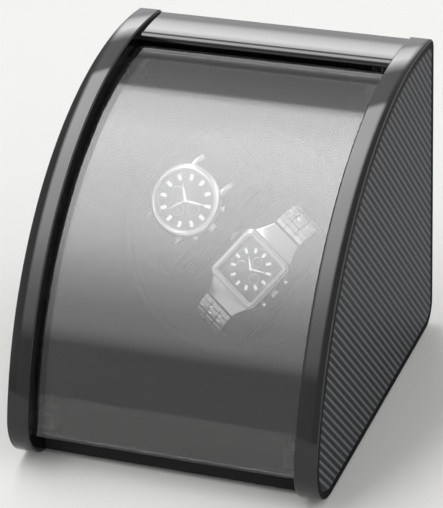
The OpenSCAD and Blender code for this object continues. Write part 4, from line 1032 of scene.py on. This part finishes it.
class WINDER_OT_square_watch(bpy.types.Operator):
    """Builds the square watch on its steel bracelet"""
    bl_idname = "winder.square_watch"
    bl_label = "Square watch"

    def execute(self, context):
        case, dial, hands, crystal = (Shape(SQUARE) for _ in range(4))
        steps = ((33.4, 3.4, 0.0), (34.6, 3.9, 0.5), (35.0, 4.0, 1.4), (35.0, 4.0, 6.4), (34.5, 3.8, 7.4),
                 (33.6, 3.5, 8.0), (32.2, 3.1, 8.15), (32.0, 3.0, 8.5), (32.0, 3.0, 9.1), (31.6, 2.9, 9.45),
                 (31.0, 2.8, 9.6), (29.9, 2.2, 9.6), (29.2, 1.6, 9.35), (29.1, 1.4, 8.3), (27.1, 1.2, 8.2),
                 (27.0, 1.0, 6.45), (27.0, 1.0, 5.75))
        case.loft([rounded(w, w, r, z, 6) for w, r, z in steps], [0] * 4 + [1] * 12)
        dial.loft([rounded(w, w, 0.9, z) for w, z in ((26.9, 5.85), (26.9, 6.35), (26.7, DIAL_TOP))])
        hands.hand(-55, 7.4, 1.8, 1.5, 6.95, 7.3)
        hands.hand(60, 10.6, 2.2, 1.2, 7.35, 7.65)
        hands.lathe([(0.8, DIAL_TOP), (0.8, 7.7), (0.5, 7.9)], 24)
        crystal.loft([rounded(w, w, r, z) for w, r, z in (
            (28.6, 1.2, 8.42), (28.9, 1.3, 8.6), (28.9, 1.3, 9.3), (28.4, 1.2, 9.58))])
        crown = crown_and_pushers(SQUARE, 17.3, 8.84, False)
        counters = [(0.0, 5.2, 40.0), (-5.2, -2.6, 160.0), (5.2, -2.6, 290.0)]
        watch_head("square", {"case": case, "dial": dial, "hands": hands, "crystal": crystal, "crown": crown},
                   counters, 3.1, 13.1, (10.6, 1.5, 2.7, 2.3))

        place = on_watch(1, CUSHION_MID)
        ends = Shape(place)
        for sy in (-1, 1):
            tapered(ends, ((17.2, 29.0, 11.6, 15.2), (19.5, 26.6, 11.2, 14.9), (23.5, 22.4, 10.7, 13.8),
                           (27.2, 19.8, 10.6, 12.7)), 0.6, 3, (1, sy))
        path = round_cushion_path(29.8, 11.65)
        tree, pitch = links_on_path(), context.scene.winder_sizes.link_pitch
        length = pitch / MM - 0.35
        rows = []
        for x, width, finish in ((0.0, 6.6, "polished"), (-6.7, 6.4, "square_brushed"),
                                 (6.7, 6.4, "square_brushed")):
            one = Shape()
            one.block((-width / 2, -length / 2, -1.0), (width / 2, length / 2, 1.0), 0.35)
            link = solid("link_master", one, finish)
            rows.append(grown("links", tree, place, {"Pitch": pitch, "Link": link, "Finish": FINISH[finish]},
                              [(x, y, z) for y, z, _, _ in path]))
            bpy.data.objects.remove(link)
        dress(joined(solid("square_bracelet_steel", ends, "polished"), *rows), "square_bracelet")
        return {"FINISHED"}


class WINDER_OT_controls(bpy.types.Operator):
    """Dresses the circuit board, selectors, knobs with their scales, switch and power inlet"""
    bl_idname = "winder.controls"
    bl_label = "Controls"

    def execute(self, context):
        mould = context.scene.winder_sizes.mould_ease / MM
        tree = bars_on_arc()
        for node, reach, count in (("mode_knob", 45, 3), ("turns_knob", 120, 7)):
            x, _, z = (c / MM for c in JOINTS[node + "_turn"]["pos_m"])
            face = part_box(node)[1].y / MM
            pointer = Shape()
            pointer.block((x - 0.6, face - 0.2, z + 2.2), (x + 0.6, face + 0.1, z + 8.0), 0.05)
            dress(solid(node + "_pointer", pointer, "print"), node, stands_for=False)
            eased(node, "plastic", mould)
            at = Matrix.Translation((x, PANEL_Y, z)) @ Matrix(((-1, 0, 0), (0, 0, 1), (0, 1, 0))).to_4x4()
            scale = grown(node + "_scale", tree, at, {
                "Count": count, "Radius": 11.8 * MM, "Start": math.radians(90 - reach),
                "Sweep": math.radians(2 * reach), "Width": 0.7 * MM, "Length": 2.2 * MM, "Height": 0.1 * MM,
                "Finish": FINISH["print"]})
            dress(scale, "back_panel", stands_for=False)
        # The switch's on and off signs, printed on the panel above and below it
        x, _, z = (c / MM for c in JOINTS["power_rocker_tip"]["pos_m"])
        signs = Shape()
        signs.block((x - 0.4, PANEL_Y - 0.1, z + 13.2), (x + 0.4, PANEL_Y + 0.08, z + 16.8), 0.03)
        ring = [(1.9, -0.1), (1.9, 0.08), (1.2, 0.08), (1.2, -0.1)]
        at = Matrix.Translation((x, PANEL_Y, z - 15.0)) @ Matrix.Rotation(math.radians(-90), 4, "X")
        signs.lathe(ring, 32, 0, at)
        dress(solid("switch_signs", signs, "print"), "back_panel", stands_for=False)
        for node, share in (("power_switch_body", 0.6), ("power_rocker", 0.8), ("power_inlet", 0.6)):
            eased(node, "plastic", mould * share)
        carried("plastic", "selector_bodies")
        carried("circuit", "control_board")
        return {"FINISHED"}


class WINDER_OT_stage(bpy.types.Operator):
    """Sets the pale floor, the studio light and the camera at the photo's angle"""
    bl_idname = "winder.stage"
    bl_label = "Stage"

    def execute(self, context):
        scene, looks = context.scene, context.scene.winder_looks
        mesh = bpy.data.meshes.new("floor")
        half, depth = 4.0, -0.0001
        mesh.from_pydata([(x * half, y * half, depth) for x, y in ((-1, -1), (1, -1), (1, 1), (-1, 1))], [],
                         [(0, 1, 2, 3)])
        # Seamless paper: matt, almost white, a trace of tooth
        paper, tree, shader, _, tooth = new_finish("seamless_paper", 2.0, Specular_IOR_Level=0.0)
        light = list(looks.floor)
        tint(tree, shader, tooth, [c * 0.985 for c in light[:3]] + [1.0], light)
        gloss(tree, shader, tooth, 0.9, 1.0)
        mesh.materials.append(paper)
        object_of("floor", mesh)
        self.light(scene, looks)
        self.camera(scene)
        scene.view_settings.view_transform = "Standard"
        return {"FINISHED"}

    def light(self, scene, looks):
        # Even room light, and a long softbox that runs over the case from the front to behind it. Its strength
        # goes by the height angle, from the front horizon (0) over the zenith (0.5) to the back horizon (1)
        strengths = ((0.0, 0.14), (0.105, 0.14), (0.13, 0.9), (0.145, 1.2), (0.19, 1.5), (0.235, 2.2), (0.28, 3.2),
                     (0.32, 4.2), (0.37, 5.0), (0.44, 5.6), (0.5, 6.2), (0.57, 6.5), (0.62, 5.8), (0.674, 5.2),
                     (0.686, 0.95), (0.74, 0.7), (0.785, 0.5), (0.803, 1.8), (0.815, 3.0), (0.84, 5.0), (0.86, 4.0),
                     (0.885, 2.6), (0.905, 0.9), (1.0, 0.4))
        # A ramp's colour stops at 1, so it holds shares of a full strength
        full = 10.0
        world = bpy.data.worlds.new("studio")
        scene.world = world
        world.use_nodes = True
        tree = world.node_tree
        tree.nodes.clear()
        way = add(tree, "ShaderNodeSeparateXYZ", {0: add(tree, "ShaderNodeTexCoord").outputs["Generated"]})
        forward = add(tree, "ShaderNodeMath", {0: way.outputs["Y"], 1: -1.0}, operation="MULTIPLY")
        rise = add(tree, "ShaderNodeMath", {0: way.outputs["Z"], 1: forward}, operation="ARCTAN2")
        share = add(tree, "ShaderNodeMath", {0: rise, 1: math.pi}, operation="DIVIDE")
        ramp = add(tree, "ShaderNodeValToRGB", {0: share})
        steps = ramp.color_ramp.elements
        while len(steps) < len(strengths):
            steps.new(1.0)
        for step, (place, level) in zip(steps, strengths):
            step.position = place
            step.color = (level / full, level / full, level / full, 1.0)
        middle = add(tree, "ShaderNodeMath", {0: way.outputs["X"], 1: 0.31}, operation="ADD")
        off = add(tree, "ShaderNodeMath", {0: middle}, operation="ABSOLUTE")
        inside = add(tree, "ShaderNodeMapRange", {"Value": off, "From Min": 0.08, "From Max": 0.13, "To Min": 1.0,
                                                  "To Max": 0.0}, interpolation_type="SMOOTHSTEP")
        level = add(tree, "ShaderNodeSeparateColor", {0: ramp})
        strip = add(tree, "ShaderNodeMath", {0: level, 1: full * looks.strip_light}, operation="MULTIPLY")
        total = add(tree, "ShaderNodeMath", {0: strip, 1: inside, 2: looks.room_light},
                    operation="MULTIPLY_ADD")
        # Two broad, soft fills from the left and the right, which light the inlays
        above = add(tree, "ShaderNodeMapRange", {"Value": way.outputs["Z"], "From Min": -0.05, "From Max": 0.25},
                    interpolation_type="SMOOTHSTEP")
        for side, strength in ((-1.0, looks.left_fill), (1.0, looks.right_fill)):
            sideways = add(tree, "ShaderNodeMath", {0: way.outputs["X"], 1: side}, operation="MULTIPLY")
            beside = add(tree, "ShaderNodeMapRange", {
                "Value": sideways, "From Min": 0.3, "From Max": 0.8, "To Max": strength},
                interpolation_type="SMOOTHSTEP")
            total = add(tree, "ShaderNodeMath", {0: beside, 1: above, 2: total},
                        operation="MULTIPLY_ADD")
        # Past the floor's edge the camera sees a plain wall of the floor's tone
        seen = add(tree, "ShaderNodeLightPath").outputs["Is Camera Ray"]
        shown = add(tree, "ShaderNodeMix", {0: seen, 2: total, 3: 0.9})
        light = add(tree, "ShaderNodeBackground", {"Color": (1, 1, 1, 1), "Strength": shown})
        add(tree, "ShaderNodeOutputWorld", {"Surface": light})

    def camera(self, scene):
        yaw, pitch, roll = (math.radians(a) for a in (20.67, 28.09, -2.10))
        back = Vector((math.sin(yaw) * math.cos(pitch), -math.cos(yaw) * math.cos(pitch), math.sin(pitch)))
        right = Vector((math.cos(yaw), math.sin(yaw), 0))
        up = back.cross(right)
        across = right * math.cos(roll) + up * math.sin(roll)
        upward = up * math.cos(roll) - right * math.sin(roll)
        lens = bpy.data.cameras.new("photo_camera")
        lens.lens = 181.7
        photo_height = 508
        lens.shift_x, lens.shift_y = -8.8 / photo_height, 6.7 / photo_height
        lens.clip_end = 50.0
        camera = bpy.data.objects.new("photo_camera", lens)
        scene.collection.objects.link(camera)
        turn = Matrix((across, upward, back)).transposed()
        aim, distance = Vector((0, 7.2, 82.9)) * MM, 1.464
        camera.matrix_world = Matrix.LocRotScale(aim + back * distance, turn.to_quaternion(), None)
        scene.camera = camera


class WINDER_PT_panel(bpy.types.Panel):
    """Sizes, looks and the steps that build the object"""
    bl_idname = "WINDER_PT_panel"
    bl_label = "Watch winder box"
    bl_space_type = "VIEW_3D"
    bl_region_type = "UI"
    bl_category = "Winder"

    def draw(self, context):
        for group in (context.scene.winder_sizes, context.scene.winder_looks):
            for key in group.bl_rna.properties.keys():
                if key not in ("rna_type", "name"):
                    self.layout.prop(group, key)
        for step in STEPS:
            self.layout.operator(step.bl_idname)


STEPS = (WINDER_OT_finishes, WINDER_OT_cheeks, WINDER_OT_rail, WINDER_OT_door, WINDER_OT_boards, WINDER_OT_drive,
         WINDER_OT_cushions, WINDER_OT_round_watch, WINDER_OT_square_watch, WINDER_OT_controls, WINDER_OT_stage)
CLASSES = (WinderSizes, WinderLooks, *STEPS, WINDER_PT_panel)


def register():
    for one in CLASSES:
        bpy.utils.register_class(one)
    bpy.types.Scene.winder_sizes = bpy.props.PointerProperty(type=WinderSizes)
    bpy.types.Scene.winder_looks = bpy.props.PointerProperty(type=WinderLooks)


def unregister():
    del bpy.types.Scene.winder_looks
    del bpy.types.Scene.winder_sizes
    for one in reversed(CLASSES):
        bpy.utils.unregister_class(one)


def main():
    register()
    bpy.ops.winder.finishes()
    bpy.ops.winder.cheeks()
    bpy.ops.winder.rail()
    bpy.ops.winder.door()
    bpy.ops.winder.boards()
    bpy.ops.winder.drive()
    bpy.ops.winder.cushions()
    bpy.ops.winder.round_watch()
    bpy.ops.winder.square_watch()
    bpy.ops.winder.controls()
    bpy.ops.winder.stage()


if __name__ == "__main__":
    main()
